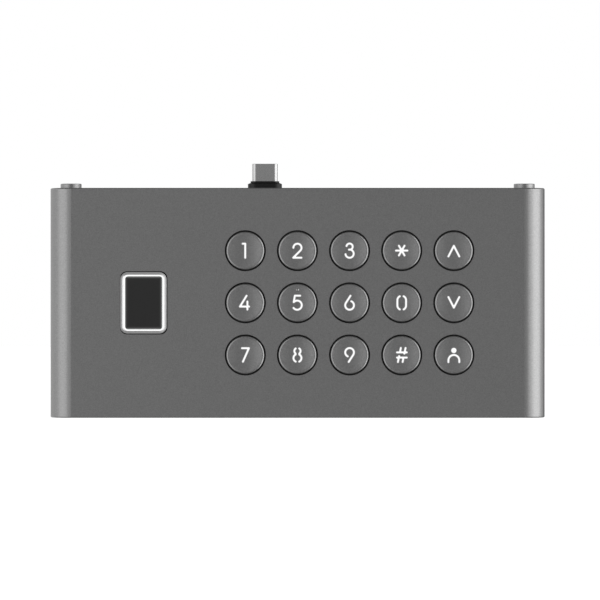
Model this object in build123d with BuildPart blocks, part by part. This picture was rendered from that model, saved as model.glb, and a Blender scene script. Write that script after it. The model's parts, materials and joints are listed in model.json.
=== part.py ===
"""Keypad access reader: an aluminium module with fifteen backlit keys, a fingerprint sensor and a plug.

The origin is the centre of the flat rear face that goes against the wall. +X is to the right as seen from
the front, +Y goes into the wall and +Z is up. Depths are counted from the front face towards the wall.
Lengths are in millimetres.
"""

from build123d import *
from math import sqrt
import os

# ---------------------------------------------------------------- body
BODY_WIDTH = 159.4
BODY_HEIGHT = 73.9
BODY_DEPTH = 28.0
SIDE_ROUND = 6.9
REAR_ROUND = 0.6
END_CHAMFER = 0.3
FRONT_WALL = 2.5
SIDE_WALL = 3.0
END_WALL = 3.0
RIM_WALL = 1.5
RIM_CORNER = 1.5

# ---------------------------------------------------------------- rear cover and wall fixing
COVER_THICKNESS = 2.5
COVER_GAP = 0.15
REAR_SEAL_THICKNESS = 0.8
REAR_SEAL_WIDTH = 1.1
COVER_SCREW_FROM_SIDE = 7.2
COVER_SCREW_FROM_END = 6.0
COVER_SCREW_COLUMNS = 4
COVER_BOSS_RADIUS = 2.9
BOSS_RIB_WIDTH = 2.0
COVER_SCREW_RADIUS = 1.45
COVER_SCREW_HEAD_RADIUS = 2.8
COVER_SCREW_LENGTH = 8.0
COVER_SCREW_HOLE_GAP = 0.1
COUNTERSINK_ANGLE = 90.0
SOCKET_ACROSS_CORNERS = 2.2
SOCKET_DEPTH = 1.0
COVER_EDGE_CHAMFER = 0.3
BRACKET_SPACING_X = 100.0
BRACKET_SPACING_Z = 40.0
INSERT_BORE_RADIUS = 1.65
INSERT_RADIUS = 2.8
INSERT_LENGTH = 6.0
INSERT_BOSS_RADIUS = 4.6
INSERT_BOSS_END = 0.8

# ---------------------------------------------------------------- keys
KEY_PITCH = 16.75
KEY_COLUMNS = 5
KEY_ROWS = 3
KEYPAD_X = 16.7
KEY_RADIUS = 6.13
KEY_HOLE_GAP = 0.48
KEY_PROUD = 0.55
KEY_EDGE_ROUND = 0.6
KEY_RIM_LAND = 0.13
KEY_DISH_DEPTH = 0.44
KEY_FACE_THICKNESS = 1.2
KEY_SKIRT_WALL = 1.2
KEY_FLANGE_REACH = 1.1
KEY_FLANGE_THICKNESS = 0.8
KEY_REST_GAP = 0.05
KEY_TRAVEL = 0.6
KEY_FLAT = 6.8
PIP_KEY = "5"
PIP_RADIUS = 0.5
PIP_RISE = 0.25
PIP_FROM_CENTRE = 4.2
FLANGE_GAP = 0.3
GUIDE_GAP = 0.1
GUIDE_SHOULDER_RADIUS = 6.0
GUIDE_SHOULDER_THICKNESS = 0.8
GUIDE_STEM_RADIUS = 2.4

# ---------------------------------------------------------------- key stack behind the front wall
FRAME_MARGIN = 1.2
FRAME_THICKNESS = 4.9
FRAME_CORNER = 3.0
MAT_THICKNESS = 1.3
DOME_RISE = 1.75
DOME_BASE_RADIUS = 6.4
DOME_CROWN_RADIUS = 3.0
DOME_WALL = 0.9
DOME_NUB_RADIUS = 1.5
DOME_NUB_LENGTH = 0.3
DOME_CROWN_WALL = 0.4
STEM_GAP = 0.05
BOARD_THICKNESS = 1.6
SWITCH_WIDTH = 4.2
SWITCH_HEIGHT = 3.2
SWITCH_THICKNESS = 1.2
ACTUATOR_RADIUS = 0.9
SWITCH_STROKE = 0.2
LED_LENGTH = 1.6
LED_WIDTH = 0.8
LED_THICKNESS = 0.6
LED_OFFSET = 3.9

# ---------------------------------------------------------------- small screws and their bosses
BOSS_RADIUS = 2.6
BOSS_GAP = 0.3
SCREW_RADIUS = 1.2
SCREW_LENGTH = 5.0
SCREW_HEAD_RADIUS = 2.2
SCREW_HEAD_THICKNESS = 1.4
SCREW_HOLE_GAP = 0.15
THREAD_GAP = 0.05
HOLE_SPARE = 0.2

# ---------------------------------------------------------------- fingerprint sensor
SENSOR_X = -49.45
BEZEL_WIDTH = 14.8
BEZEL_HEIGHT = 19.9
BEZEL_CORNER = 2.05
BEZEL_HOLE_GAP = 0.2
BEZEL_BAND = 0.86
BEZEL_PROUD = 0.4
BEZEL_EDGE_ROUND = 0.4
BEZEL_FLANGE_REACH = 2.0
BEZEL_FLANGE_THICKNESS = 1.0
RING_BAND = 0.54
RING_PROUD = 0.25
RING_GAP = 0.05
WINDOW_GAP = 0.12
WINDOW_PROUD = 0.1
WINDOW_CORNER = 0.8
SENSOR_GASKET_THICKNESS = 0.5
SENSOR_SPACER_THICKNESS = 1.0
SENSOR_SPACER_BAND = 1.6
RING_COLLAR_REACH = 1.0
RING_COLLAR_THICKNESS = 0.5
WINDOW_THICKNESS = 1.0
CORE_INSET = 0.6
SENSOR_BOARD_WIDTH = 20.0
SENSOR_BOARD_HEIGHT = 37.0
SENSOR_BOARD_THICKNESS = 1.2
SENSOR_SCREW_SPACING = 31.0
RING_LED_THICKNESS = 0.45
RING_LED_SIDE_COUNT = 3
RING_LED_END_COUNT = 2
RING_LED_SPACING = 5.5

# ---------------------------------------------------------------- plug on top
PLUG_X = -10.6
PLUG_FROM_FRONT = 14.0
PLUG_SHELL_WIDTH = 8.25
PLUG_SHELL_THICKNESS = 2.4
PLUG_SHELL_WALL = 0.3
PLUG_SHELL_REACH = 5.65
PLUG_SHELL_BURIED = 4.0
PLUG_BASE_WIDTH = 11.05
PLUG_BASE_THICKNESS = 5.0
PLUG_BASE_STEP = 1.5
PLUG_BASE_SHOULDER = 0.42
PLUG_BASE_CROWN = 0.5
PLUG_BASE_INSET = 0.87
PLUG_BASE_GAP = 0.2
PLUG_FLANGE_WIDTH = 18.0
PLUG_FLANGE_DEPTH = 8.0
PLUG_FLANGE_THICKNESS = 3.0
PLUG_SCREW_SPACING = 14.0
TONGUE_SLOT_WIDTH = 6.7
TONGUE_SLOT_THICKNESS = 0.8
TONGUE_SLOT_DEPTH = 5.0
CORE_RECESS = 0.3
CORE_GAP = 0.05
CONTACT_COUNT = 12
CONTACT_PITCH = 0.5
CONTACT_WIDTH = 0.25
CONTACT_THICKNESS = 0.1
CONTACT_LENGTH = 4.0
PLUG_BOARD_WIDTH = 9.2
PLUG_BOARD_HEIGHT = 11.0
PLUG_BOARD_THICKNESS = 0.8
LINK_WIDTH = 8.0
LINK_HEIGHT = 4.0
LINK_FROM_FOOT = 0.5
PLUG_SHELL_EDGE_ROUND = 0.12
CONTACT_FROM_FLOOR = 0.5

# ---------------------------------------------------------------- locating studs on top
STUD_FROM_SIDE = 6.3
STUD_FROM_FRONT = 14.0
STUD_RADIUS = 3.4
STUD_HEIGHT = 1.6
STUD_EDGE_ROUND = 0.3
STUD_SHANK_RADIUS = 2.0

# ---------------------------------------------------------------- parts on the rear of the boards
CHIP_SIZE = 9.0
CHIP_THICKNESS = 1.2
CHIP_X = 26.0
CHIP_Z = 6.0
MEMORY_WIDTH = 6.0
MEMORY_HEIGHT = 5.0
MEMORY_X = 12.0
MEMORY_Z = -8.0
CAPACITOR_RADIUS = 2.0
CAPACITOR_HEIGHT = 4.5
CAPACITOR_X = 50.0
CAPACITOR_SPACING = 6.0
CAPACITOR_COUNT = 3
SOCKET_WIDTH = 3.5
SOCKET_HEIGHT = 11.0
SOCKET_THICKNESS = 1.2
SOCKET_EDGE = 2.5
RIBBON_WIDTH = 8.0
RIBBON_THICKNESS = 0.2
RIBBON_BEND = 1.5

# ---------------------------------------------------------------- depths that follow from the sizes
KEY_HOLE_RADIUS = KEY_RADIUS + KEY_HOLE_GAP
KEY_FLANGE_RADIUS = KEY_RADIUS + KEY_FLANGE_REACH
KEY_FLANGE_FRONT = FRONT_WALL + KEY_REST_GAP
KEY_FLANGE_BACK = KEY_FLANGE_FRONT + KEY_FLANGE_THICKNESS
KEY_DISH_FLOOR = KEY_DISH_DEPTH - KEY_PROUD
KEY_POCKET_FLOOR = KEY_DISH_FLOOR + KEY_FACE_THICKNESS
KEY_POCKET_RADIUS = KEY_RADIUS - KEY_SKIRT_WALL
KEY_DISH_RIM = KEY_RADIUS - KEY_EDGE_ROUND - KEY_RIM_LAND
KEY_DISH_RADIUS = (KEY_DISH_RIM**2 + KEY_DISH_DEPTH**2) / (2 * KEY_DISH_DEPTH)
PIP_SPHERE_RADIUS = (PIP_RADIUS**2 + PIP_RISE**2) / (2 * PIP_RISE)
FRAME_BACK = FRONT_WALL + FRAME_THICKNESS
MAT_BACK = FRAME_BACK + MAT_THICKNESS
DOME_TOP = FRAME_BACK - DOME_RISE
STEM_END = DOME_TOP - STEM_GAP
BOARD_BACK = MAT_BACK + BOARD_THICKNESS
NUB_END = DOME_TOP + DOME_WALL + DOME_NUB_LENGTH
ACTUATOR_TOP = NUB_END + KEY_TRAVEL - STEM_GAP - SWITCH_STROKE
FRAME_WIDTH = KEY_COLUMNS * KEY_PITCH + 2 * FRAME_MARGIN
FRAME_HEIGHT = KEY_ROWS * KEY_PITCH + 2 * FRAME_MARGIN
GUIDE_BORE_RADIUS = KEY_FLANGE_RADIUS + FLANGE_GAP
COVER_FRONT = BODY_DEPTH - COVER_THICKNESS
COVER_WIDTH = BODY_WIDTH - 2 * RIM_WALL - 2 * COVER_GAP
COVER_HEIGHT = BODY_HEIGHT - 2 * RIM_WALL - 2 * COVER_GAP
COVER_CORNER = RIM_CORNER - COVER_GAP
COVER_SCREW_SPACING_X = BODY_WIDTH - 2 * COVER_SCREW_FROM_SIDE
COVER_SCREW_SPACING_Z = BODY_HEIGHT - 2 * COVER_SCREW_FROM_END
LEDGE = COVER_FRONT - REAR_SEAL_THICKNESS
RING_WIDTH = BEZEL_WIDTH - 2 * BEZEL_BAND
RING_HEIGHT = BEZEL_HEIGHT - 2 * BEZEL_BAND
RING_CORNER = BEZEL_CORNER - BEZEL_BAND
WINDOW_WIDTH = RING_WIDTH - 2 * RING_BAND - 2 * WINDOW_GAP
WINDOW_HEIGHT = RING_HEIGHT - 2 * RING_BAND - 2 * WINDOW_GAP
BEZEL_FLANGE_WIDTH = BEZEL_WIDTH + 2 * BEZEL_FLANGE_REACH
BEZEL_FLANGE_HEIGHT = BEZEL_HEIGHT + 2 * BEZEL_FLANGE_REACH
BEZEL_FLANGE_CORNER = BEZEL_CORNER + BEZEL_FLANGE_REACH
SENSOR_FLANGE_FRONT = FRONT_WALL + SENSOR_GASKET_THICKNESS
SENSOR_FLANGE_BACK = SENSOR_FLANGE_FRONT + BEZEL_FLANGE_THICKNESS
SENSOR_BOARD_FRONT = SENSOR_FLANGE_BACK + SENSOR_SPACER_THICKNESS
SENSOR_BOARD_BACK = SENSOR_BOARD_FRONT + SENSOR_BOARD_THICKNESS
BODY_TOP = BODY_HEIGHT / 2
TOP_INSIDE = BODY_TOP - END_WALL
PLUG_Y = PLUG_FROM_FRONT - BODY_DEPTH
STUD_Y = STUD_FROM_FRONT - BODY_DEPTH
STUD_SPACING = BODY_WIDTH - 2 * STUD_FROM_SIDE
PLUG_BASE_TOP = BODY_TOP + PLUG_BASE_STEP + PLUG_BASE_SHOULDER + PLUG_BASE_CROWN
PLUG_TIP = PLUG_BASE_TOP + PLUG_SHELL_REACH
PLUG_SHELL_FOOT = PLUG_BASE_TOP - PLUG_SHELL_BURIED
PLUG_FLANGE_FOOT = TOP_INSIDE - PLUG_FLANGE_THICKNESS
PLUG_BOARD_FRONT = PLUG_FROM_FRONT - PLUG_BOARD_THICKNESS / 2
CORE_TIP = PLUG_TIP - CORE_RECESS
SLOT_FLOOR = CORE_TIP - TONGUE_SLOT_DEPTH
SENSOR_SOCKET_X = SENSOR_X + SENSOR_BOARD_WIDTH / 2 - SOCKET_EDGE
BOARD_SOCKET_X = KEYPAD_X - FRAME_WIDTH / 2 + SOCKET_EDGE

KEY_NAMES = [
    ["1", "2", "3", "star", "up"],
    ["4", "5", "6", "0", "down"],
    ["7", "8", "9", "hash", "call"],
]


def at_depth(depth):
    """The plane parallel to the front face, that deep behind it. Its x and y are X and Z."""
    return Plane.XZ.offset(BODY_DEPTH - depth)


def key_places():
    """Each key's name and the X and Z of its axis, row by row from the top left."""
    places = []
    for row in range(KEY_ROWS):
        for column in range(KEY_COLUMNS):
            x = KEYPAD_X + (column - (KEY_COLUMNS - 1) / 2) * KEY_PITCH
            z = ((KEY_ROWS - 1) / 2 - row) * KEY_PITCH
            places.append((KEY_NAMES[row][column], x, z))
    return places


def board_screw_places():
    """X and Z of the screws that hold the key stack, each midway between four keys."""
    outer_x = (KEY_COLUMNS - 2) * KEY_PITCH / 2
    half_pitch = KEY_PITCH / 2
    outer = [(KEYPAD_X + i * outer_x, j * half_pitch) for i in (-1, 1) for j in (-1, 1)]
    inner = [(KEYPAD_X + i * half_pitch, -i * half_pitch) for i in (-1, 1)]
    return outer + inner


def sensor_screw_places():
    return [(SENSOR_X, i * SENSOR_SCREW_SPACING / 2) for i in (-1, 1)]


def cover_screw_step():
    return COVER_SCREW_SPACING_X / (COVER_SCREW_COLUMNS - 1)


def cover_screw_grid():
    return GridLocations(cover_screw_step(), COVER_SCREW_SPACING_Z, COVER_SCREW_COLUMNS, 2)


def save(piece, name):
    piece.part.label = name
    export_step(piece.part, f"parts/{name}.step")


def key_profile_plane(x, z):
    """The plane through a key's axis in which local x is the radius and local y the depth."""
    return Plane((x, -BODY_DEPTH, z), x_dir=(1, 0, 0), z_dir=(0, 0, 1))


def key_axis(x, z):
    return Axis((x, -BODY_DEPTH, z), (0, 1, 0))


REAR_PLANE = Plane((0, 0, 0), x_dir=(1, 0, 0), z_dir=(0, 1, 0))


# ---------------------------------------------------------------- front shell
def shell_block():
    """The solid block of the body, rounded along its upright edges and cut flat at both ends."""
    with BuildPart() as block:
        with BuildSketch(Plane.XY.offset(-BODY_TOP)):
            with Locations((0, -BODY_DEPTH / 2)):
                Rectangle(BODY_WIDTH, BODY_DEPTH)
        extrude(amount=BODY_HEIGHT)
        uprights = block.edges().filter_by(Axis.Z).group_by(Axis.Y)
        fillet(uprights[0], SIDE_ROUND)
        uprights = block.edges().filter_by(Axis.Z).group_by(Axis.Y)
        fillet(uprights[-1], REAR_ROUND)
        ends = block.faces().sort_by(Axis.Z)
        chamfer(ends[0].edges() + ends[-1].edges(), END_CHAMFER)
    return block.part


def shell_cavity():
    """The hollow: a chamber that follows the rounded sides, and a wider pocket for the rear cover."""
    with BuildPart() as cavity:
        with BuildSketch(Plane.XY.offset(-TOP_INSIDE)):
            with Locations((0, (FRONT_WALL + LEDGE) / 2 - BODY_DEPTH)):
                Rectangle(BODY_WIDTH - 2 * SIDE_WALL, LEDGE - FRONT_WALL)
        extrude(amount=2 * TOP_INSIDE)
        uprights = cavity.edges().filter_by(Axis.Z).group_by(Axis.Y)
        fillet(uprights[0], SIDE_ROUND - SIDE_WALL)
        with BuildSketch(at_depth(LEDGE)):
            RectangleRounded(BODY_WIDTH - 2 * RIM_WALL, BODY_HEIGHT - 2 * RIM_WALL, RIM_CORNER)
        extrude(amount=LEDGE - BODY_DEPTH)
    return cavity.part


def discs(depth, places, radius):
    """Discs of one radius about the given X and Z, at a depth."""
    with BuildSketch(at_depth(depth)) as sketch:
        with Locations(*places):
            Circle(radius)
    return sketch.sketch


def front_shell():
    with BuildPart() as shell:
        add(shell_block())
        add(shell_cavity(), mode=Mode.SUBTRACT)

        # pillars for the cover screws, each with a rib to the nearest end wall
        with BuildSketch(at_depth(FRONT_WALL)):
            with cover_screw_grid():
                Circle(COVER_BOSS_RADIUS)
        extrude(amount=FRONT_WALL - COVER_FRONT)
        rib_reach = TOP_INSIDE - COVER_SCREW_SPACING_Z / 2
        with BuildSketch(at_depth(FRONT_WALL)):
            for side in (-1, 1):
                with Locations((0, side * (COVER_SCREW_SPACING_Z + rib_reach) / 2)):
                    with GridLocations(cover_screw_step(), 1, COVER_SCREW_COLUMNS, 1):
                        Rectangle(BOSS_RIB_WIDTH, rib_reach)
        extrude(amount=FRONT_WALL - LEDGE)
        with BuildSketch(at_depth(COVER_FRONT)):
            with cover_screw_grid():
                Circle(COVER_SCREW_RADIUS + THREAD_GAP)
        extrude(amount=COVER_SCREW_LENGTH - COVER_THICKNESS + HOLE_SPARE, mode=Mode.SUBTRACT)

        # bosses for the key stack and for the sensor, each bored as deep as its screw needs
        for places, top, clamped in (
            (board_screw_places(), MAT_BACK, BOARD_THICKNESS),
            (sensor_screw_places(), SENSOR_BOARD_FRONT, SENSOR_BOARD_THICKNESS),
        ):
            extrude(discs(FRONT_WALL, places, BOSS_RADIUS), amount=FRONT_WALL - top)
            bore_depth = SCREW_LENGTH - clamped + HOLE_SPARE
            bore = discs(top, places, SCREW_RADIUS + THREAD_GAP)
            extrude(bore, amount=bore_depth, mode=Mode.SUBTRACT)

        # openings in the front wall
        with BuildSketch(at_depth(0)):
            with Locations((KEYPAD_X, 0)):
                with GridLocations(KEY_PITCH, KEY_PITCH, KEY_COLUMNS, KEY_ROWS):
                    Circle(KEY_HOLE_RADIUS)
            with Locations((SENSOR_X, 0)):
                RectangleRounded(
                    BEZEL_WIDTH + 2 * BEZEL_HOLE_GAP,
                    BEZEL_HEIGHT + 2 * BEZEL_HOLE_GAP,
                    BEZEL_CORNER + BEZEL_HOLE_GAP,
                )
        extrude(amount=-FRONT_WALL, mode=Mode.SUBTRACT)

        # openings in the top wall for the plug, its screws and the studs
        with BuildSketch(Plane.XY.offset(BODY_TOP)):
            with Locations((PLUG_X, PLUG_Y)):
                SlotOverall(
                    PLUG_BASE_WIDTH + 2 * PLUG_BASE_GAP,
                    PLUG_BASE_THICKNESS + 2 * PLUG_BASE_GAP,
                )
            with Locations((0, STUD_Y)):
                with GridLocations(STUD_SPACING, 1, 2, 1):
                    Circle(STUD_SHANK_RADIUS + THREAD_GAP)
        extrude(amount=-END_WALL, mode=Mode.SUBTRACT)
        with BuildSketch(Plane.XY.offset(TOP_INSIDE)):
            with Locations((PLUG_X, PLUG_Y)):
                with GridLocations(PLUG_SCREW_SPACING, 1, 2, 1):
                    Circle(SCREW_RADIUS + THREAD_GAP)
        extrude(amount=SCREW_LENGTH - PLUG_FLANGE_THICKNESS + HOLE_SPARE, mode=Mode.SUBTRACT)
    save(shell, "front_shell")


# ---------------------------------------------------------------- keys
def dish_depth(radius):
    """How deep a cap's dished face lies at that radius."""
    return KEY_DISH_FLOOR - (KEY_DISH_RADIUS - sqrt(KEY_DISH_RADIUS**2 - radius**2))


def key_cap(name, x, z):
    """A metal cap: a dished face, a rounded edge, and a flange with one flat behind the wall.

    The middle key has a small raised pip above its sign, by which a finger finds it.
    """
    with BuildPart() as cap:
        with BuildSketch(key_profile_plane(x, z)):
            with BuildLine():
                dish_rim = (KEY_DISH_RIM, -KEY_PROUD)
                land_end = (KEY_DISH_RIM + KEY_RIM_LAND, -KEY_PROUD)
                edge_foot = (KEY_RADIUS, KEY_EDGE_ROUND - KEY_PROUD)
                TangentArc((0, KEY_DISH_FLOOR), dish_rim, tangent=(1, 0))
                Line(dish_rim, land_end)
                TangentArc(land_end, edge_foot, tangent=(1, 0))
                Polyline(
                    edge_foot,
                    (KEY_RADIUS, KEY_FLANGE_FRONT),
                    (KEY_FLANGE_RADIUS, KEY_FLANGE_FRONT),
                    (KEY_FLANGE_RADIUS, KEY_FLANGE_BACK),
                    (KEY_POCKET_RADIUS, KEY_FLANGE_BACK),
                    (KEY_POCKET_RADIUS, KEY_POCKET_FLOOR),
                    (0, KEY_POCKET_FLOOR),
                    (0, KEY_DISH_FLOOR),
                )
            make_face()
        revolve(axis=key_axis(x, z))
        beyond_flat = KEY_FLANGE_RADIUS - KEY_FLAT
        with BuildSketch(at_depth(KEY_FLANGE_FRONT)):
            with Locations((x, z - KEY_FLAT - beyond_flat / 2)):
                Rectangle(2 * KEY_FLANGE_RADIUS, beyond_flat)
        extrude(amount=-KEY_FLANGE_THICKNESS, mode=Mode.SUBTRACT)
        if name == PIP_KEY:
            pip_depth = dish_depth(PIP_FROM_CENTRE) - PIP_RISE + PIP_SPHERE_RADIUS
            with Locations((x, pip_depth - BODY_DEPTH, z + PIP_FROM_CENTRE)):
                Sphere(PIP_SPHERE_RADIUS)
    save(cap, f"key_{name}_cap")


def key_light_guide(name, x, z):
    """The clear core that fills a cap, carries the light to its sign and presses the mat with its stem."""
    radius = KEY_POCKET_RADIUS - GUIDE_GAP
    shoulder_back = KEY_FLANGE_BACK + GUIDE_SHOULDER_THICKNESS
    with BuildPart() as guide:
        with BuildSketch(key_profile_plane(x, z)):
            with BuildLine():
                Polyline(
                    (0, KEY_POCKET_FLOOR),
                    (radius, KEY_POCKET_FLOOR),
                    (radius, KEY_FLANGE_BACK),
                    (GUIDE_SHOULDER_RADIUS, KEY_FLANGE_BACK),
                    (GUIDE_SHOULDER_RADIUS, shoulder_back),
                    (GUIDE_STEM_RADIUS, shoulder_back),
                    (GUIDE_STEM_RADIUS, STEM_END),
                    (0, STEM_END),
                    close=True,
                )
            make_face()
        revolve(axis=key_axis(x, z))
    save(guide, f"key_{name}_light_guide")


# ---------------------------------------------------------------- key stack
def frame_outline():
    """The outline that the frame, the mat and the board share, clear of the cover screws' pillars."""
    with Locations((KEYPAD_X, 0)):
        RectangleRounded(FRAME_WIDTH, FRAME_HEIGHT, FRAME_CORNER)
    with cover_screw_grid():
        Circle(COVER_BOSS_RADIUS + BOSS_GAP, mode=Mode.SUBTRACT)


def key_frame():
    """The moulded frame that guides each flange by its flat and keeps each key's light to itself."""
    with BuildPart() as frame:
        with BuildSketch(at_depth(FRONT_WALL)):
            frame_outline()
            with Locations(*board_screw_places()):
                Circle(BOSS_RADIUS + BOSS_GAP, mode=Mode.SUBTRACT)
        extrude(amount=-FRAME_THICKNESS)
        flat = KEY_FLAT + FLANGE_GAP
        beyond_flat = GUIDE_BORE_RADIUS - flat
        with BuildSketch(at_depth(FRONT_WALL)):
            with Locations((KEYPAD_X, 0)):
                with GridLocations(KEY_PITCH, KEY_PITCH, KEY_COLUMNS, KEY_ROWS):
                    Circle(GUIDE_BORE_RADIUS)
            with Locations((KEYPAD_X, -flat - beyond_flat / 2)):
                with GridLocations(KEY_PITCH, KEY_PITCH, KEY_COLUMNS, KEY_ROWS):
                    Rectangle(2 * GUIDE_BORE_RADIUS, beyond_flat, mode=Mode.SUBTRACT)
        extrude(amount=-FRAME_THICKNESS, mode=Mode.SUBTRACT)
    save(frame, "key_frame")


def keypad_mat():
    """One rubber mat with a hollow dome under each key and a nub that meets the switch."""
    inner_radius = DOME_BASE_RADIUS - DOME_WALL
    crown_inside = DOME_TOP + DOME_WALL
    inner_crown_radius = DOME_CROWN_RADIUS - DOME_CROWN_WALL
    with BuildPart() as mat:
        with BuildSketch(at_depth(FRAME_BACK)):
            frame_outline()
            with Locations(*board_screw_places()):
                Circle(BOSS_RADIUS + BOSS_GAP, mode=Mode.SUBTRACT)
        extrude(amount=-MAT_THICKNESS)
        for name, x, z in key_places():
            with BuildSketch(key_profile_plane(x, z)):
                with BuildLine():
                    Polyline(
                        (0, DOME_TOP),
                        (DOME_CROWN_RADIUS, DOME_TOP),
                        (DOME_BASE_RADIUS, FRAME_BACK),
                        (0, FRAME_BACK),
                        close=True,
                    )
                make_face()
            revolve(axis=key_axis(x, z))
        for name, x, z in key_places():
            with BuildSketch(key_profile_plane(x, z)):
                with BuildLine():
                    Polyline(
                        (0, NUB_END),
                        (DOME_NUB_RADIUS, NUB_END),
                        (DOME_NUB_RADIUS, crown_inside),
                        (inner_crown_radius, crown_inside),
                        (inner_radius, MAT_BACK),
                        (0, MAT_BACK),
                        close=True,
                    )
                make_face()
            revolve(axis=key_axis(x, z), mode=Mode.SUBTRACT)
    save(mat, "keypad_mat")


def key_switches():
    """A small push switch on the board under each key."""
    switch_top = MAT_BACK - SWITCH_THICKNESS
    with BuildPart() as switches:
        with BuildSketch(at_depth(MAT_BACK)):
            with Locations((KEYPAD_X, 0)):
                with GridLocations(KEY_PITCH, KEY_PITCH, KEY_COLUMNS, KEY_ROWS):
                    Rectangle(SWITCH_WIDTH, SWITCH_HEIGHT)
        extrude(amount=SWITCH_THICKNESS)
        with BuildSketch(at_depth(switch_top)):
            with Locations((KEYPAD_X, 0)):
                with GridLocations(KEY_PITCH, KEY_PITCH, KEY_COLUMNS, KEY_ROWS):
                    Circle(ACTUATOR_RADIUS)
        extrude(amount=switch_top - ACTUATOR_TOP)
    save(switches, "key_switches")


def key_lights():
    """Two small lamps beside each switch, inside its dome."""
    with BuildPart() as lights:
        with BuildSketch(at_depth(MAT_BACK)):
            with Locations((KEYPAD_X, 0)):
                with GridLocations(KEY_PITCH, KEY_PITCH, KEY_COLUMNS, KEY_ROWS):
                    with GridLocations(2 * LED_OFFSET, 1, 2, 1):
                        Rectangle(LED_WIDTH, LED_LENGTH)
        extrude(amount=LED_THICKNESS)
    save(lights, "key_lights")


def main_board():
    with BuildPart() as board:
        with BuildSketch(at_depth(MAT_BACK)):
            frame_outline()
            with Locations(*board_screw_places()):
                Circle(SCREW_RADIUS + SCREW_HOLE_GAP, mode=Mode.SUBTRACT)
        extrude(amount=-BOARD_THICKNESS)
    save(board, "main_board")


def board_chips():
    """The controller and its memory, on the rear of the main board."""
    with BuildPart() as chips:
        with BuildSketch(at_depth(BOARD_BACK)):
            with Locations((CHIP_X, CHIP_Z)):
                Rectangle(CHIP_SIZE, CHIP_SIZE)
            with Locations((MEMORY_X, MEMORY_Z)):
                Rectangle(MEMORY_WIDTH, MEMORY_HEIGHT)
        extrude(amount=-CHIP_THICKNESS)
    save(chips, "board_chips")


def board_capacitors():
    with BuildPart() as capacitors:
        with BuildSketch(at_depth(BOARD_BACK)):
            with Locations((CAPACITOR_X, 0)):
                with GridLocations(1, CAPACITOR_SPACING, 1, CAPACITOR_COUNT):
                    Circle(CAPACITOR_RADIUS)
        extrude(amount=-CAPACITOR_HEIGHT)
    save(capacitors, "board_capacitors")


# ---------------------------------------------------------------- fingerprint sensor
def sensor_gasket():
    with BuildPart() as gasket:
        with BuildSketch(at_depth(FRONT_WALL)):
            with Locations((SENSOR_X, 0)):
                RectangleRounded(BEZEL_FLANGE_WIDTH, BEZEL_FLANGE_HEIGHT, BEZEL_FLANGE_CORNER)
                RectangleRounded(
                    BEZEL_WIDTH + 2 * BEZEL_HOLE_GAP,
                    BEZEL_HEIGHT + 2 * BEZEL_HOLE_GAP,
                    BEZEL_CORNER + BEZEL_HOLE_GAP,
                    mode=Mode.SUBTRACT,
                )
        extrude(amount=-SENSOR_GASKET_THICKNESS)
    save(gasket, "sensor_gasket")


def sensor_bezel():
    """The metal frame in the front opening: a round-edged band, and a flange behind the wall."""
    with BuildPart() as bezel:
        with BuildSketch(at_depth(SENSOR_FLANGE_BACK)):
            with Locations((SENSOR_X, 0)):
                RectangleRounded(BEZEL_FLANGE_WIDTH, BEZEL_FLANGE_HEIGHT, BEZEL_FLANGE_CORNER)
        extrude(amount=BEZEL_FLANGE_THICKNESS)
        with BuildSketch(at_depth(SENSOR_FLANGE_FRONT)):
            with Locations((SENSOR_X, 0)):
                RectangleRounded(BEZEL_WIDTH, BEZEL_HEIGHT, BEZEL_CORNER)
        extrude(amount=SENSOR_FLANGE_FRONT + BEZEL_PROUD)
        fillet(bezel.faces().sort_by(Axis.Y)[0].edges(), BEZEL_EDGE_ROUND)
        with BuildSketch(at_depth(SENSOR_FLANGE_BACK)):
            with Locations((SENSOR_X, 0)):
                RectangleRounded(RING_WIDTH, RING_HEIGHT, RING_CORNER)
        extrude(amount=SENSOR_FLANGE_BACK + BEZEL_PROUD, mode=Mode.SUBTRACT)
    save(bezel, "sensor_bezel")


def sensor_light_ring():
    """The clear ring inside the bezel, with a collar that the bezel's flange holds down."""
    width = RING_WIDTH - 2 * RING_GAP
    height = RING_HEIGHT - 2 * RING_GAP
    corner = RING_CORNER - RING_GAP
    collar_back = SENSOR_FLANGE_BACK + RING_COLLAR_THICKNESS
    with BuildPart() as ring:
        with BuildSketch(at_depth(collar_back)):
            with Locations((SENSOR_X, 0)):
                RectangleRounded(
                    RING_WIDTH + 2 * RING_COLLAR_REACH,
                    RING_HEIGHT + 2 * RING_COLLAR_REACH,
                    RING_CORNER + RING_COLLAR_REACH,
                )
        extrude(amount=RING_COLLAR_THICKNESS)
        with BuildSketch(at_depth(SENSOR_FLANGE_BACK)):
            with Locations((SENSOR_X, 0)):
                RectangleRounded(width, height, corner)
        extrude(amount=SENSOR_FLANGE_BACK + RING_PROUD)
        with BuildSketch(at_depth(collar_back)):
            with Locations((SENSOR_X, 0)):
                RectangleRounded(
                    WINDOW_WIDTH + 2 * WINDOW_GAP,
                    WINDOW_HEIGHT + 2 * WINDOW_GAP,
                    WINDOW_CORNER + WINDOW_GAP,
                )
        extrude(amount=collar_back + RING_PROUD, mode=Mode.SUBTRACT)
    save(ring, "sensor_light_ring")


def sensor_window():
    with BuildPart() as window:
        with BuildSketch(at_depth(WINDOW_THICKNESS - WINDOW_PROUD)):
            with Locations((SENSOR_X, 0)):
                RectangleRounded(WINDOW_WIDTH, WINDOW_HEIGHT, WINDOW_CORNER)
        extrude(amount=WINDOW_THICKNESS)
    save(window, "sensor_window")


def sensor_core():
    """The sensing package between the window and its board."""
    window_back = WINDOW_THICKNESS - WINDOW_PROUD
    with BuildPart() as core:
        with BuildSketch(at_depth(SENSOR_BOARD_FRONT)):
            with Locations((SENSOR_X, 0)):
                Rectangle(WINDOW_WIDTH - 2 * CORE_INSET, WINDOW_HEIGHT - 2 * CORE_INSET)
        extrude(amount=SENSOR_BOARD_FRONT - window_back)
    save(core, "sensor_core")


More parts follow.
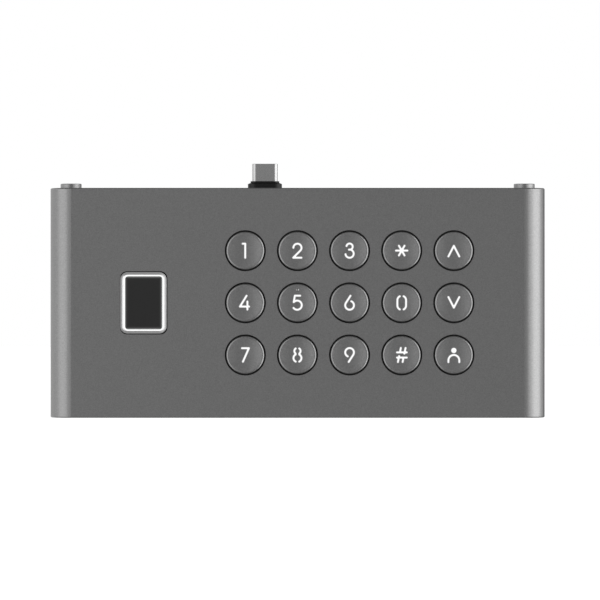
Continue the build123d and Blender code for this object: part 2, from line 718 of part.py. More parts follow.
def sensor_spacer():
    """The plastic ring that the sensor board presses against the bezel's flange."""
    with BuildPart() as spacer:
        with BuildSketch(at_depth(SENSOR_FLANGE_BACK)):
            with Locations((SENSOR_X, 0)):
                RectangleRounded(BEZEL_FLANGE_WIDTH, BEZEL_FLANGE_HEIGHT, BEZEL_FLANGE_CORNER)
                RectangleRounded(
                    BEZEL_FLANGE_WIDTH - 2 * SENSOR_SPACER_BAND,
                    BEZEL_FLANGE_HEIGHT - 2 * SENSOR_SPACER_BAND,
                    BEZEL_FLANGE_CORNER - SENSOR_SPACER_BAND,
                    mode=Mode.SUBTRACT,
                )
        extrude(amount=-SENSOR_SPACER_THICKNESS)
    save(spacer, "sensor_spacer")


def sensor_board():
    with BuildPart() as board:
        with BuildSketch(at_depth(SENSOR_BOARD_FRONT)):
            with Locations((SENSOR_X, 0)):
                RectangleRounded(SENSOR_BOARD_WIDTH, SENSOR_BOARD_HEIGHT, BOSS_RADIUS)
            with Locations(*sensor_screw_places()):
                Circle(SCREW_RADIUS + SCREW_HOLE_GAP, mode=Mode.SUBTRACT)
        extrude(amount=-SENSOR_BOARD_THICKNESS)
    save(board, "sensor_board")


def ring_lights():
    """Lamps on the sensor board under the light ring, along its sides and its ends."""
    with BuildPart() as lights:
        with BuildSketch(at_depth(SENSOR_BOARD_FRONT)):
            with Locations((SENSOR_X, 0)):
                with GridLocations(RING_WIDTH, RING_LED_SPACING, 2, RING_LED_SIDE_COUNT):
                    Rectangle(LED_WIDTH, LED_LENGTH)
                with GridLocations(RING_LED_SPACING, RING_HEIGHT, RING_LED_END_COUNT, 2):
                    Rectangle(LED_LENGTH, LED_WIDTH)
        extrude(amount=RING_LED_THICKNESS)
    save(lights, "ring_lights")


def ribbon_sockets():
    """The two ribbon sockets, one on the rear of each board."""
    with BuildPart() as sockets:
        for x, board_back in ((SENSOR_SOCKET_X, SENSOR_BOARD_BACK), (BOARD_SOCKET_X, BOARD_BACK)):
            with BuildSketch(at_depth(board_back)):
                with Locations((x, 0)):
                    Rectangle(SOCKET_WIDTH, SOCKET_HEIGHT)
            extrude(amount=-SOCKET_THICKNESS)
    save(sockets, "ribbon_sockets")


def sensor_ribbon():
    """The flat ribbon that runs from one socket to the other and steps down between the boards."""
    start_x = SENSOR_SOCKET_X + SOCKET_WIDTH / 2
    end_x = BOARD_SOCKET_X - SOCKET_WIDTH / 2
    start_depth = SENSOR_BOARD_BACK + SOCKET_THICKNESS / 2
    end_depth = BOARD_BACK + SOCKET_THICKNESS / 2
    straight = SOCKET_EDGE + RIBBON_BEND
    with BuildPart() as ribbon:
        with BuildSketch(Plane.XY.offset(-RIBBON_WIDTH / 2)):
            with BuildLine() as route:
                FilletPolyline(
                    (start_x, start_depth - BODY_DEPTH),
                    (start_x + straight, start_depth - BODY_DEPTH),
                    (end_x - straight, end_depth - BODY_DEPTH),
                    (end_x, end_depth - BODY_DEPTH),
                    radius=RIBBON_BEND,
                )
            trace(route.line, RIBBON_THICKNESS)
        extrude(amount=RIBBON_WIDTH)
    save(ribbon, "sensor_ribbon")


# ---------------------------------------------------------------- plug on top
def plug_plane(z):
    """The level plane at a height, with its origin on the plug's centre line."""
    return Plane((PLUG_X, PLUG_Y, z), x_dir=(1, 0, 0), z_dir=(0, 0, 1))


def plug_base():
    """The black moulding around the plug: a flange inside, a step, a sloped shoulder and a narrow crown."""
    crown_width = PLUG_BASE_WIDTH - 2 * PLUG_BASE_INSET
    crown_thickness = PLUG_BASE_THICKNESS - 2 * PLUG_BASE_INSET
    step_top = BODY_TOP + PLUG_BASE_STEP
    shoulder_top = step_top + PLUG_BASE_SHOULDER
    with BuildPart() as base:
        with BuildSketch(plug_plane(PLUG_FLANGE_FOOT)):
            Rectangle(PLUG_FLANGE_WIDTH, PLUG_FLANGE_DEPTH)
            with GridLocations(PLUG_SCREW_SPACING, 1, 2, 1):
                Circle(SCREW_RADIUS + SCREW_HOLE_GAP, mode=Mode.SUBTRACT)
        extrude(amount=PLUG_FLANGE_THICKNESS)
        with BuildSketch(plug_plane(TOP_INSIDE)):
            SlotOverall(PLUG_BASE_WIDTH, PLUG_BASE_THICKNESS)
        extrude(amount=step_top - TOP_INSIDE)
        with BuildSketch(plug_plane(step_top)):
            SlotOverall(PLUG_BASE_WIDTH, PLUG_BASE_THICKNESS)
        with BuildSketch(plug_plane(shoulder_top)):
            SlotOverall(crown_width, crown_thickness)
        loft(ruled=True)
        with BuildSketch(plug_plane(shoulder_top)):
            SlotOverall(crown_width, crown_thickness)
        extrude(amount=PLUG_BASE_CROWN)
        with BuildSketch(plug_plane(PLUG_SHELL_FOOT)):
            SlotOverall(PLUG_SHELL_WIDTH, PLUG_SHELL_THICKNESS)
        extrude(amount=PLUG_BASE_TOP - PLUG_SHELL_FOOT, mode=Mode.SUBTRACT)
    save(base, "plug_base")


def plug_shell():
    """The bright metal shell of the plug."""
    with BuildPart() as shell:
        with BuildSketch(plug_plane(PLUG_SHELL_FOOT)):
            SlotOverall(PLUG_SHELL_WIDTH, PLUG_SHELL_THICKNESS)
        extrude(amount=PLUG_TIP - PLUG_SHELL_FOOT)
        fillet(shell.faces().sort_by(Axis.Z)[-1].edges(), PLUG_SHELL_EDGE_ROUND)
        with BuildSketch(plug_plane(PLUG_SHELL_FOOT)):
            SlotOverall(
                PLUG_SHELL_WIDTH - 2 * PLUG_SHELL_WALL,
                PLUG_SHELL_THICKNESS - 2 * PLUG_SHELL_WALL,
            )
        extrude(amount=PLUG_TIP - PLUG_SHELL_FOOT, mode=Mode.SUBTRACT)
    save(shell, "plug_shell")


def plug_core():
    """The insulator inside the shell, with the slot that the mating tongue enters."""
    inset = PLUG_SHELL_WALL + CORE_GAP
    with BuildPart() as core:
        with BuildSketch(plug_plane(PLUG_SHELL_FOOT)):
            SlotOverall(PLUG_SHELL_WIDTH - 2 * inset, PLUG_SHELL_THICKNESS - 2 * inset)
        extrude(amount=CORE_TIP - PLUG_SHELL_FOOT)
        with BuildSketch(plug_plane(SLOT_FLOOR)):
            Rectangle(TONGUE_SLOT_WIDTH, TONGUE_SLOT_THICKNESS)
        extrude(amount=TONGUE_SLOT_DEPTH, mode=Mode.SUBTRACT)
    save(core, "plug_core")


def plug_contacts():
    """The two facing rows of contacts on the walls of the slot."""
    with BuildPart() as contacts:
        with BuildSketch(plug_plane(SLOT_FLOOR + CONTACT_FROM_FLOOR)):
            with GridLocations(CONTACT_PITCH, TONGUE_SLOT_THICKNESS - CONTACT_THICKNESS, CONTACT_COUNT, 2):
                Rectangle(CONTACT_WIDTH, CONTACT_THICKNESS)
        extrude(amount=CONTACT_LENGTH)
    save(contacts, "plug_contacts")


def plug_board():
    """The small upright board that hangs from the plug's base."""
    with BuildPart() as board:
        with BuildSketch(plug_plane(PLUG_FLANGE_FOOT - PLUG_BOARD_HEIGHT)):
            Rectangle(PLUG_BOARD_WIDTH, PLUG_BOARD_THICKNESS)
        extrude(amount=PLUG_BOARD_HEIGHT)
    save(board, "plug_board")


def link_connector():
    """The connector that joins the plug's board to the main board."""
    z = PLUG_FLANGE_FOOT - PLUG_BOARD_HEIGHT + LINK_FROM_FOOT + LINK_HEIGHT / 2
    with BuildPart() as link:
        with BuildSketch(at_depth(PLUG_BOARD_FRONT)):
            with Locations((PLUG_X, z)):
                Rectangle(LINK_WIDTH, LINK_HEIGHT)
        extrude(amount=PLUG_BOARD_FRONT - BOARD_BACK)
    save(link, "link_connector")


# ---------------------------------------------------------------- studs, cover and fasteners
def locating_studs():
    """The two studs that locate the module under the unit above it."""
    with BuildPart() as studs:
        with BuildSketch(Plane.XY.offset(BODY_TOP)):
            with Locations((0, STUD_Y)):
                with GridLocations(STUD_SPACING, 1, 2, 1):
                    Circle(STUD_RADIUS)
        extrude(amount=STUD_HEIGHT)
        fillet(studs.edges().group_by(Axis.Z)[-1], STUD_EDGE_ROUND)
        with BuildSketch(Plane.XY.offset(BODY_TOP)):
            with Locations((0, STUD_Y)):
                with GridLocations(STUD_SPACING, 1, 2, 1):
                    Circle(STUD_SHANK_RADIUS)
        extrude(amount=-END_WALL)
    save(studs, "locating_studs")


def bracket_grid():
    return GridLocations(BRACKET_SPACING_X, BRACKET_SPACING_Z, 2, 2)


def rear_cover():
    """The moulded cover that closes the rear, with bosses inside for the wall bracket's inserts."""
    with BuildPart() as cover:
        with BuildSketch(at_depth(COVER_FRONT)):
            RectangleRounded(COVER_WIDTH, COVER_HEIGHT, COVER_CORNER)
        extrude(amount=-COVER_THICKNESS)
        chamfer(cover.faces().sort_by(Axis.Y)[-1].edges(), COVER_EDGE_CHAMFER)
        with BuildSketch(at_depth(COVER_FRONT)):
            with bracket_grid():
                Circle(INSERT_BOSS_RADIUS)
        extrude(amount=INSERT_LENGTH + INSERT_BOSS_END - COVER_THICKNESS)
        with BuildSketch(REAR_PLANE):
            with bracket_grid():
                Circle(INSERT_RADIUS)
        extrude(amount=-INSERT_LENGTH, mode=Mode.SUBTRACT)
        with Locations(REAR_PLANE):
            with cover_screw_grid():
                CounterSinkHole(
                    COVER_SCREW_RADIUS + COVER_SCREW_HOLE_GAP,
                    COVER_SCREW_HEAD_RADIUS + COVER_SCREW_HOLE_GAP,
                    depth=COVER_THICKNESS,
                    counter_sink_angle=COUNTERSINK_ANGLE,
                )
    save(cover, "rear_cover")


def rear_seal():
    """The rubber ring on the ledge under the cover's edge."""
    with BuildPart() as seal:
        with BuildSketch(at_depth(LEDGE)):
            RectangleRounded(COVER_WIDTH, COVER_HEIGHT, COVER_CORNER)
            RectangleRounded(
                COVER_WIDTH - 2 * REAR_SEAL_WIDTH,
                COVER_HEIGHT - 2 * REAR_SEAL_WIDTH,
                COVER_CORNER - REAR_SEAL_WIDTH,
                mode=Mode.SUBTRACT,
            )
        extrude(amount=-REAR_SEAL_THICKNESS)
    save(seal, "rear_seal")


def bracket_inserts():
    """Brass inserts with the threaded holes that take the wall bracket's screws."""
    with BuildPart() as inserts:
        with BuildSketch(REAR_PLANE):
            with bracket_grid():
                Circle(INSERT_RADIUS)
            with bracket_grid():
                Circle(INSERT_BORE_RADIUS, mode=Mode.SUBTRACT)
        extrude(amount=-INSERT_LENGTH)
    save(inserts, "bracket_inserts")


def cover_screws():
    """Countersunk screws with a six-sided socket, flush with the rear cover."""
    head_height = COVER_SCREW_HEAD_RADIUS - COVER_SCREW_RADIUS
    with BuildPart() as screws:
        with Locations(REAR_PLANE):
            with cover_screw_grid():
                top = (Align.CENTER, Align.CENTER, Align.MAX)
                Cylinder(COVER_SCREW_RADIUS, COVER_SCREW_LENGTH, align=top)
                Cone(COVER_SCREW_RADIUS, COVER_SCREW_HEAD_RADIUS, head_height, align=top)
        with BuildSketch(REAR_PLANE):
            with cover_screw_grid():
                RegularPolygon(SOCKET_ACROSS_CORNERS / 2, 6)
        extrude(amount=-SOCKET_DEPTH, mode=Mode.SUBTRACT)
    save(screws, "cover_screws")


def inner_screws():
    """The pan-head screws of the key stack, the sensor board and the plug's flange."""
    groups = (
        (board_screw_places(), BOARD_BACK),
        (sensor_screw_places(), SENSOR_BOARD_BACK),
    )
    with BuildPart() as screws:
        for places, seat in groups:
            with BuildSketch(at_depth(seat)):
                with Locations(*places):
                    Circle(SCREW_HEAD_RADIUS)
            extrude(amount=-SCREW_HEAD_THICKNESS)
            with BuildSketch(at_depth(seat)):
                with Locations(*places):
                    Circle(SCREW_RADIUS)
            extrude(amount=SCREW_LENGTH)
        with BuildSketch(plug_plane(PLUG_FLANGE_FOOT)):
            with GridLocations(PLUG_SCREW_SPACING, 1, 2, 1):
                Circle(SCREW_HEAD_RADIUS)
        extrude(amount=-SCREW_HEAD_THICKNESS)
        with BuildSketch(plug_plane(PLUG_FLANGE_FOOT)):
            with GridLocations(PLUG_SCREW_SPACING, 1, 2, 1):
                Circle(SCREW_RADIUS)
        extrude(amount=SCREW_LENGTH)
    save(screws, "inner_screws")


os.makedirs("parts", exist_ok=True)
front_shell()
for key_name, key_x, key_z in key_places():
    key_cap(key_name, key_x, key_z)
    key_light_guide(key_name, key_x, key_z)
key_frame()
keypad_mat()
key_switches()
key_lights()
main_board()
board_chips()
board_capacitors()
sensor_gasket()
sensor_bezel()
sensor_light_ring()
sensor_window()
sensor_core()
sensor_spacer()
sensor_board()
ring_lights()
ribbon_sockets()
sensor_ribbon()
plug_base()
plug_shell()
plug_core()
plug_contacts()
plug_board()
link_connector()
locating_studs()
rear_cover()
rear_seal()
bracket_inserts()
cover_screws()
inner_screws()
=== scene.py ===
# %% [markdown]
# # A keypad access reader
# This module of a door station has fifteen backlit metal keys, a fingerprint sensor in a bright frame, and a
# plug with two locating studs on its top edge. The CAD model already holds every rigid piece at its real
# size, so this lesson spends its time on the finishes, the signs on the keys, the sensor's fine edges and the
# light. We could rebuild every piece as a Blender mesh, but then the moving keys might no longer fit, so
# nearly all CAD pieces stay as they are. Blender counts in metres here, and small lengths are easier to read
# in millimetres, so they are written as a number times MM.

# %% Load the frame
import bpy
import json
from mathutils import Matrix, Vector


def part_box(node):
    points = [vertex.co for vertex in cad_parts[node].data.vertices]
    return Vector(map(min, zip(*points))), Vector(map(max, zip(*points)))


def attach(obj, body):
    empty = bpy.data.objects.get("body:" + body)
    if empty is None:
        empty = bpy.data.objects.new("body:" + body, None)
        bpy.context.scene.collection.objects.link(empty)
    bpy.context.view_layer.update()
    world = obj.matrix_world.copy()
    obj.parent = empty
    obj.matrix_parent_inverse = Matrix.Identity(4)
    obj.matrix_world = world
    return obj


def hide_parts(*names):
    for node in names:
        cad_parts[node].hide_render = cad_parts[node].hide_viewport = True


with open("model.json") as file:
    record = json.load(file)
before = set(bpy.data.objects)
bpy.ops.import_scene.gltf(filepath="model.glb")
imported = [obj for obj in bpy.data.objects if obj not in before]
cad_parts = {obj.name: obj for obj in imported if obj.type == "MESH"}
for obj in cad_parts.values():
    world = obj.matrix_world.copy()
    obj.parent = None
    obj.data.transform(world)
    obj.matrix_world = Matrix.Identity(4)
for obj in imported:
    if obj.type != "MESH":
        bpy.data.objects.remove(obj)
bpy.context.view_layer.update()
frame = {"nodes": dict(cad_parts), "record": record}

MM = 0.001

# %% [markdown]
# ## The camera
# The reader is seen straight from the front, so its sides and its top don't show. A long lens from far away
# keeps the lines parallel. An orthographic camera would do that too, but a real lens lets the rounded sides
# fall away a little. The lens follows from the width that the picture takes in at the front face.

# %% Place the camera
import bpy
from math import atan2, ceil, cos, pi, radians, sin, sqrt, tan
from mathutils import Vector

SENSOR_WIDTH_MM = 36.0
CAMERA_DISTANCE = 1.7
PICTURE_WIDTH = 192.8 * MM
CAMERA_X = 0.77 * MM
CAMERA_Z = 0.91 * MM

shell_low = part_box("front_shell")[0]
front_y = shell_low.y
camera_data = bpy.data.cameras.new("camera")
camera_data.sensor_width = SENSOR_WIDTH_MM
camera_data.lens = SENSOR_WIDTH_MM * CAMERA_DISTANCE / PICTURE_WIDTH
camera = bpy.data.objects.new("camera", camera_data)
camera.location = (CAMERA_X, front_y - CAMERA_DISTANCE, CAMERA_Z)
camera.rotation_euler = (pi / 2, 0, 0)
bpy.context.scene.collection.objects.link(camera)
bpy.context.scene.camera = camera
bpy.context.scene.view_settings.view_transform = "Standard"
print("lens", round(camera_data.lens, 1), "mm")

# %% [markdown]
# ## Small helpers for shader nodes
# A finish is a net of shader nodes. Adding and joining them by hand takes several lines each, so three short
# helpers do it. `add_node` sets the values that it is given by name, `join` links one socket to another, and
# `calculate` adds a Math node whose inputs are sockets or plain numbers.

# %% Helpers for shader nodes
def add_node(tree, kind, properties=None, **values):
    """A node of that kind. Properties are its settings, and values are defaults of its inputs, by name."""
    node = tree.nodes.new(kind)
    for name, value in (properties or {}).items():
        setattr(node, name, value)
    for name, value in values.items():
        node.inputs[name.replace("_", " ")].default_value = value
    return node


def join(tree, from_node, from_socket, to_node, to_socket):
    """A link between two sockets, each given by its name or its number."""
    tree.links.new(from_node.outputs[from_socket], to_node.inputs[to_socket])


def calculate(tree, operation, *values):
    """The result of a Math node. Each value is an output socket or a number."""
    node = add_node(tree, "ShaderNodeMath", {"operation": operation})
    for index, value in enumerate(values):
        if isinstance(value, bpy.types.NodeSocket):
            tree.links.new(value, node.inputs[index])
        else:
            node.inputs[index].default_value = value
    return node.outputs[0]


print("three helpers ready")

# %% [markdown]
# ## Floor
# The reader stands on a plain pale floor in front of a white room, so the picture is white all round it. A
# floor that is simply lit would have to be very bright, and its light would fill the metal from below. So the
# floor glows a little by itself, and only the camera sees it: the light passes through it, as through the
# glass table of a product studio. It lies a hair below the reader, so that the two faces don't flicker, and
# it is clear from below, so that the underside can be seen.

# %% Lay the floor
FLOOR_HALF = 2.5
FLOOR_GAP = 0.05 * MM

floor_z = shell_low.z - FLOOR_GAP
floor_plan = ((-1, -1), (1, -1), (1, 1), (-1, 1))
floor_corners = [(x * FLOOR_HALF, y * FLOOR_HALF, floor_z) for x, y in floor_plan]
floor_mesh = bpy.data.meshes.new("floor")
floor_mesh.from_pydata(floor_corners, [], [(0, 1, 2, 3)])
floor = bpy.data.objects.new("floor", floor_mesh)
floor.visible_glossy = False
floor.visible_diffuse = False
floor.visible_transmission = False
floor.visible_shadow = False
bpy.context.scene.collection.objects.link(floor)
print("floor at z", round(floor_z / MM, 2), "mm")

# %% Make the floor glow for the camera
FLOOR_GREY = (0.6, 0.6, 0.6, 1)
FLOOR_GLOW = 0.88

floor_finish = bpy.data.materials.new("floor_finish")
floor_finish.use_nodes = True
tree = floor_finish.node_tree
tree.nodes.clear()
output = add_node(tree, "ShaderNodeOutputMaterial")
matte = add_node(tree, "ShaderNodeBsdfDiffuse", Color=FLOOR_GREY)
glow = add_node(tree, "ShaderNodeEmission", Strength=FLOOR_GLOW)
both = add_node(tree, "ShaderNodeAddShader")
join(tree, matte, 0, both, 0)
join(tree, glow, 0, both, 1)
side = add_node(tree, "ShaderNodeNewGeometry")
clear = add_node(tree, "ShaderNodeBsdfTransparent")
by_side = add_node(tree, "ShaderNodeMixShader")
join(tree, side, "Backfacing", by_side, 0)
join(tree, both, 0, by_side, 1)
join(tree, clear, 0, by_side, 2)
join(tree, by_side, 0, output, "Surface")
floor_mesh.materials.append(floor_finish)
print("floor glow", FLOOR_GLOW)

# %% [markdown]
# ## The room
# Metal shows what stands round it. The camera sees a white room, but a white room would wash out the metal.
# So the metal mirrors a dim grey room, which keeps the front face a calm grey: that face mirrors the part
# behind the camera. The Light Path node tells the camera's own rays from the mirrored ones.

# %% Make the room
ROOM_GREY = (0.21, 0.21, 0.21, 1)

world = bpy.data.worlds.new("room")
world.use_nodes = True
tree = world.node_tree
tree.nodes.clear()
output = add_node(tree, "ShaderNodeOutputWorld")
seen = add_node(tree, "ShaderNodeBackground", Color=(1, 1, 1, 1), Strength=1.0)
mirrored_room = add_node(tree, "ShaderNodeBackground", Color=ROOM_GREY, Strength=1.0)
ray = add_node(tree, "ShaderNodeLightPath")
by_ray = add_node(tree, "ShaderNodeMixShader")
join(tree, ray, "Is Camera Ray", by_ray, 0)
join(tree, mirrored_room, 0, by_ray, 1)
join(tree, seen, 0, by_ray, 2)
join(tree, by_ray, 0, output, "Surface")
bpy.context.scene.world = world
print("room grey", ROOM_GREY[0])

# %% [markdown]
# ## Studio light
# Rounded metal is drawn by its reflections. Upright panels stand round the reader: a softbox on each side,
# the right one larger and brighter, each with a dimmer edge towards the camera and a dimmer wall further
# back. What the front face mirrors is the gap between the softboxes, which one faint panel lifts a little.
# All panels hang at the same distance, and each is given by the directions that it fills and by its radiance,
# which is how bright the metal mirrors it. Point lights would leave small hot spots instead of these broad
# soft bands.

# %% Hang the panels
PANEL_DISTANCE = 3.0
PANEL_ELEVATION = 40


def panel(name, from_azimuth, to_azimuth, radiance):
    """An upright area light that faces the reader and reaches as far down as up. The azimuths are degrees
    round the reader: 0 is in front of it and 90 on its right."""
    data = bpy.data.lights.new(name, "AREA")
    data.shape = "RECTANGLE"
    data.size = 2 * PANEL_DISTANCE * tan(radians((to_azimuth - from_azimuth) / 2))
    data.size_y = 2 * PANEL_DISTANCE * tan(radians(PANEL_ELEVATION))
    data.energy = pi * data.size * data.size_y * radiance
    light = bpy.data.objects.new(name, data)
    angle = radians((from_azimuth + to_azimuth) / 2)
    toward = Vector((sin(angle), -cos(angle), 0))
    light.location = toward * PANEL_DISTANCE + Vector((0, front_y, 0))
    light.rotation_mode = "QUATERNION"
    light.rotation_quaternion = toward.to_track_quat("Z", "Y")
    light.visible_camera = False
    bpy.context.scene.collection.objects.link(light)
    print(name, round(data.size, 2), "m wide,", round(data.energy, 2), "W")


panel("left_wall", -180, -75, radiance=0.49)
panel("left_softbox", -75, -25, radiance=0.85)
panel("left_softbox_edge", -25, -10, radiance=0.33)
panel("camera_wall", -5, 15, radiance=0.03)
panel("right_softbox_edge", 25, 50, radiance=0.78)
panel("right_softbox", 50, 100, radiance=1.5)
panel("right_wall", 100, 130, radiance=0.5)

# %% [markdown]
# ## Shared effects as node groups
# Blasted metal, moulded plastic and rubber all have fine uneven grain, only at other sizes and depths. The
# effect is built once as a node group, a small net with named inputs and outputs, and each finish places it
# with its own values. Copying the nodes into each material would look the same but could never be tuned in
# one place.

# %% Helpers for node groups
FLOAT_SOCKET = "NodeSocketFloat"
NOISE_MIDDLE = 0.5


def new_group(name, inputs, outputs):
    """An empty shader node group with float inputs, given with their defaults, and float outputs."""
    group = bpy.data.node_groups.new(name, "ShaderNodeTree")
    for socket_name, default in inputs:
        socket = group.interface.new_socket(name=socket_name, in_out="INPUT", socket_type=FLOAT_SOCKET)
        socket.default_value = default
    for socket_name in outputs:
        group.interface.new_socket(name=socket_name, in_out="OUTPUT", socket_type=FLOAT_SOCKET)
    start = group.nodes.new("NodeGroupInput")
    end = group.nodes.new("NodeGroupOutput")
    return group, start, end


def uneven_roughness(group, start, end, noise):
    """The group's roughness swings round its own value as the noise swings round its middle."""
    swing = calculate(group, "SUBTRACT", noise, NOISE_MIDDLE)
    spread, roughness = start.outputs["Roughness spread"], start.outputs["Roughness"]
    group.links.new(calculate(group, "MULTIPLY_ADD", swing, spread, roughness), end.inputs["Roughness"])


print("noise swings round", NOISE_MIDDLE)

# %% [markdown]
# ### Grain
# Two noise patterns lie in the solid itself, in object coordinates, so they need no unwrapping and follow
# each key as it moves. The fine one is the blasting or the texture of the mould, the coarse one the slow
# cloudiness of a treated surface. Tone goes to the colour, Roughness to the gloss and Height to the bump.

# %% Build the grain group
def build_grain():
    group, start, end = new_group(
        "surface_grain",
        [
            ("Grains per metre", 4000.0),
            ("Clouds per metre", 300.0),
            ("Cloud share", 0.4),
            ("Roughness", 0.4),
            ("Roughness spread", 0.05),
        ],
        ["Tone", "Roughness", "Height"],
    )
    place = add_node(group, "ShaderNodeTexCoord")
    fine = add_node(group, "ShaderNodeTexNoise", Detail=2.0, Roughness=0.6)
    cloud = add_node(group, "ShaderNodeTexNoise", Detail=3.0, Roughness=0.55)
    tone = add_node(group, "ShaderNodeMix", {"data_type": "FLOAT"})
    for noise, scale in ((fine, "Grains per metre"), (cloud, "Clouds per metre")):
        join(group, place, "Object", noise, "Vector")
        join(group, start, scale, noise, "Scale")
    join(group, start, "Cloud share", tone, "Factor")
    join(group, fine, "Fac", tone, "A")
    join(group, cloud, "Fac", tone, "B")
    join(group, tone, "Result", end, "Tone")
    join(group, fine, "Fac", end, "Height")
    uneven_roughness(group, start, end, tone.outputs["Result"])
    return group


grain_group = build_grain()
print("group", grain_group.name, "has", len(grain_group.nodes), "nodes")

# %% [markdown]
# ### Tool lines
# Turned and brushed metal has fine lines that all run one way. Noise that is squeezed along one axis gives
# them: the scale is high across the lines and low along them.

# %% Build the tool-lines group
def build_tool_lines():
    group, start, end = new_group(
        "tool_lines",
        [
            ("Per metre X", 300.0),
            ("Per metre Y", 300.0),
            ("Per metre Z", 9000.0),
            ("Roughness", 0.3),
            ("Roughness spread", 0.1),
        ],
        ["Tone", "Roughness", "Height"],
    )
    place = add_node(group, "ShaderNodeTexCoord")
    scale = add_node(group, "ShaderNodeCombineXYZ")
    stretch = add_node(group, "ShaderNodeVectorMath", {"operation": "MULTIPLY"})
    lines = add_node(group, "ShaderNodeTexNoise", Scale=1.0, Detail=3.0, Roughness=0.6)
    for axis in "XYZ":
        join(group, start, f"Per metre {axis}", scale, axis)
    join(group, place, "Object", stretch, 0)
    join(group, scale, 0, stretch, 1)
    join(group, stretch, 0, lines, "Vector")
    join(group, lines, "Fac", end, "Tone")
    join(group, lines, "Fac", end, "Height")
    uneven_roughness(group, start, end, lines.outputs["Fac"])
    return group


tool_lines_group = build_tool_lines()
print("group", tool_lines_group.name, "has", len(tool_lines_group.nodes), "nodes")

# %% [markdown]
# ### Light at an edge
# The lit ring touches the window all round, and a little of its light creeps into the window's edge. The
# group measures how far a point lies inside the window's outline and lets the glow die away with that
# distance. A lamp behind the window would light all of it, not only its edge.

# %% Build the edge-glow group
def build_edge_glow():
    group, start, end = new_group(
        "edge_glow",
        [
            ("Middle X", 0.0),
            ("Half width", 0.005),
            ("Half height", 0.008),
            ("Reach", 0.0002),
            ("Strength", 0.5),
        ],
        ["Glow"],
    )
    place = add_node(group, "ShaderNodeTexCoord")
    axes = add_node(group, "ShaderNodeSeparateXYZ")
    join(group, place, "Object", axes, "Vector")
    from_middle = calculate(group, "SUBTRACT", axes.outputs["X"], start.outputs["Middle X"])
    x_away = calculate(group, "ABSOLUTE", from_middle)
    z_away = calculate(group, "ABSOLUTE", axes.outputs["Z"])
    x_inside = calculate(group, "SUBTRACT", start.outputs["Half width"], x_away)
    z_inside = calculate(group, "SUBTRACT", start.outputs["Half height"], z_away)
    inside = calculate(group, "MINIMUM", x_inside, z_inside)
    reaches = calculate(group, "DIVIDE", inside, start.outputs["Reach"])
    faded = calculate(group, "EXPONENT", calculate(group, "MULTIPLY", reaches, -1.0))
    group.links.new(calculate(group, "MULTIPLY", faded, start.outputs["Strength"]), end.inputs["Glow"])
    return group


edge_glow_group = build_edge_glow()
print("group", edge_glow_group.name, "has", len(edge_glow_group.nodes), "nodes")

# %% [markdown]
# ### Painted shade in the gaps
# The narrow gaps round the keys and the sensor lie in shade, and that shade is painted: the skirts of the
# caps and the bores that they slide in are given a dark grey colour. The painted shade starts just below the
# front face.
# The group answers with 1 inside a box of object coordinates and 0 outside it, so the same net serves the
# caps, the shell and the sensor's frame.

# %% Build the painted-region group
# The painted shade's mask: 1 inside the box of the shaded gaps, 0 outside it.
def build_painted_shade():
    limits = [(f"Low {axis}", -1.0) for axis in "XYZ"] + [(f"High {axis}", 1.0) for axis in "XYZ"]
    group, start, end = new_group("painted_shade_region", limits, ["Paint"])
    place = add_node(group, "ShaderNodeTexCoord")
    axes = add_node(group, "ShaderNodeSeparateXYZ")
    join(group, place, "Object", axes, "Vector")
    tests = []
    for limit, _ in limits:
        side, axis = limit.split()
        comparison = "GREATER_THAN" if side == "Low" else "LESS_THAN"
        tests.append(calculate(group, comparison, axes.outputs[axis], start.outputs[limit]))
    painted_shade = tests[0]
    for test in tests[1:]:
        painted_shade = calculate(group, "MULTIPLY", painted_shade, test)
    group.links.new(painted_shade, end.inputs["Paint"])
    return group


painted_shade_group = build_painted_shade()
print("group", painted_shade_group.name, "has", len(painted_shade_group.nodes), "nodes")

# %% [markdown]
# ## Finishes
# Every finish is one Principled shader fed by the grain or the tool lines: Tone slides between a dark and a
# light colour, Roughness makes the gloss uneven, and Height becomes a bump a few thousandths of a millimetre
# deep. Numbers that are the same everywhere are set on the shader itself.

# %% Helpers for finishes
MICRON = 1e-6


def new_finish(name, group, group_values, dark, light, bump_depth, **shader_values):
    """A material with colour, gloss and relief from a group. Dark and light are the ends of its tone."""
    finish = bpy.data.materials.new(name)
    finish.use_nodes = True
    tree = finish.node_tree
    shader = tree.nodes["Principled BSDF"]
    for socket, value in shader_values.items():
        shader.inputs[socket.replace("_", " ")].default_value = value
    effect = add_node(tree, "ShaderNodeGroup", {"node_tree": group}, **group_values)
    colour = add_node(tree, "ShaderNodeMix", {"data_type": "RGBA"}, A=(*dark, 1), B=(*light, 1))
    bump = add_node(tree, "ShaderNodeBump", Strength=1.0, Distance=bump_depth)
    join(tree, effect, "Tone", colour, "Factor")
    join(tree, colour, "Result", shader, "Base Color")
    join(tree, effect, "Roughness", shader, "Roughness")
    join(tree, effect, "Height", bump, "Height")
    join(tree, bump, "Normal", shader, "Normal")
    return finish


def grey(value, blue=1.0):
    """A neutral colour, or one with a little more or less blue."""
    return (value, value, value * blue)


print("one micron is", MICRON, "m")

# %% [markdown]
# ### Metals
# The shell and the key caps are aluminium that was blasted and anodised a dark neutral grey: satin, with a
# very fine even grain. The sensor's frame is a bright satin metal, the plug's shell is drawn and plated, the
# studs are turned steel and the screws satin stainless steel. The metals differ only in numbers, so a table
# holds them and one loop makes them all. A row names the finish, its group and the group's values, then the
# dark and the light end of the colour, and last the depth of the relief in thousandths of a millimetre.

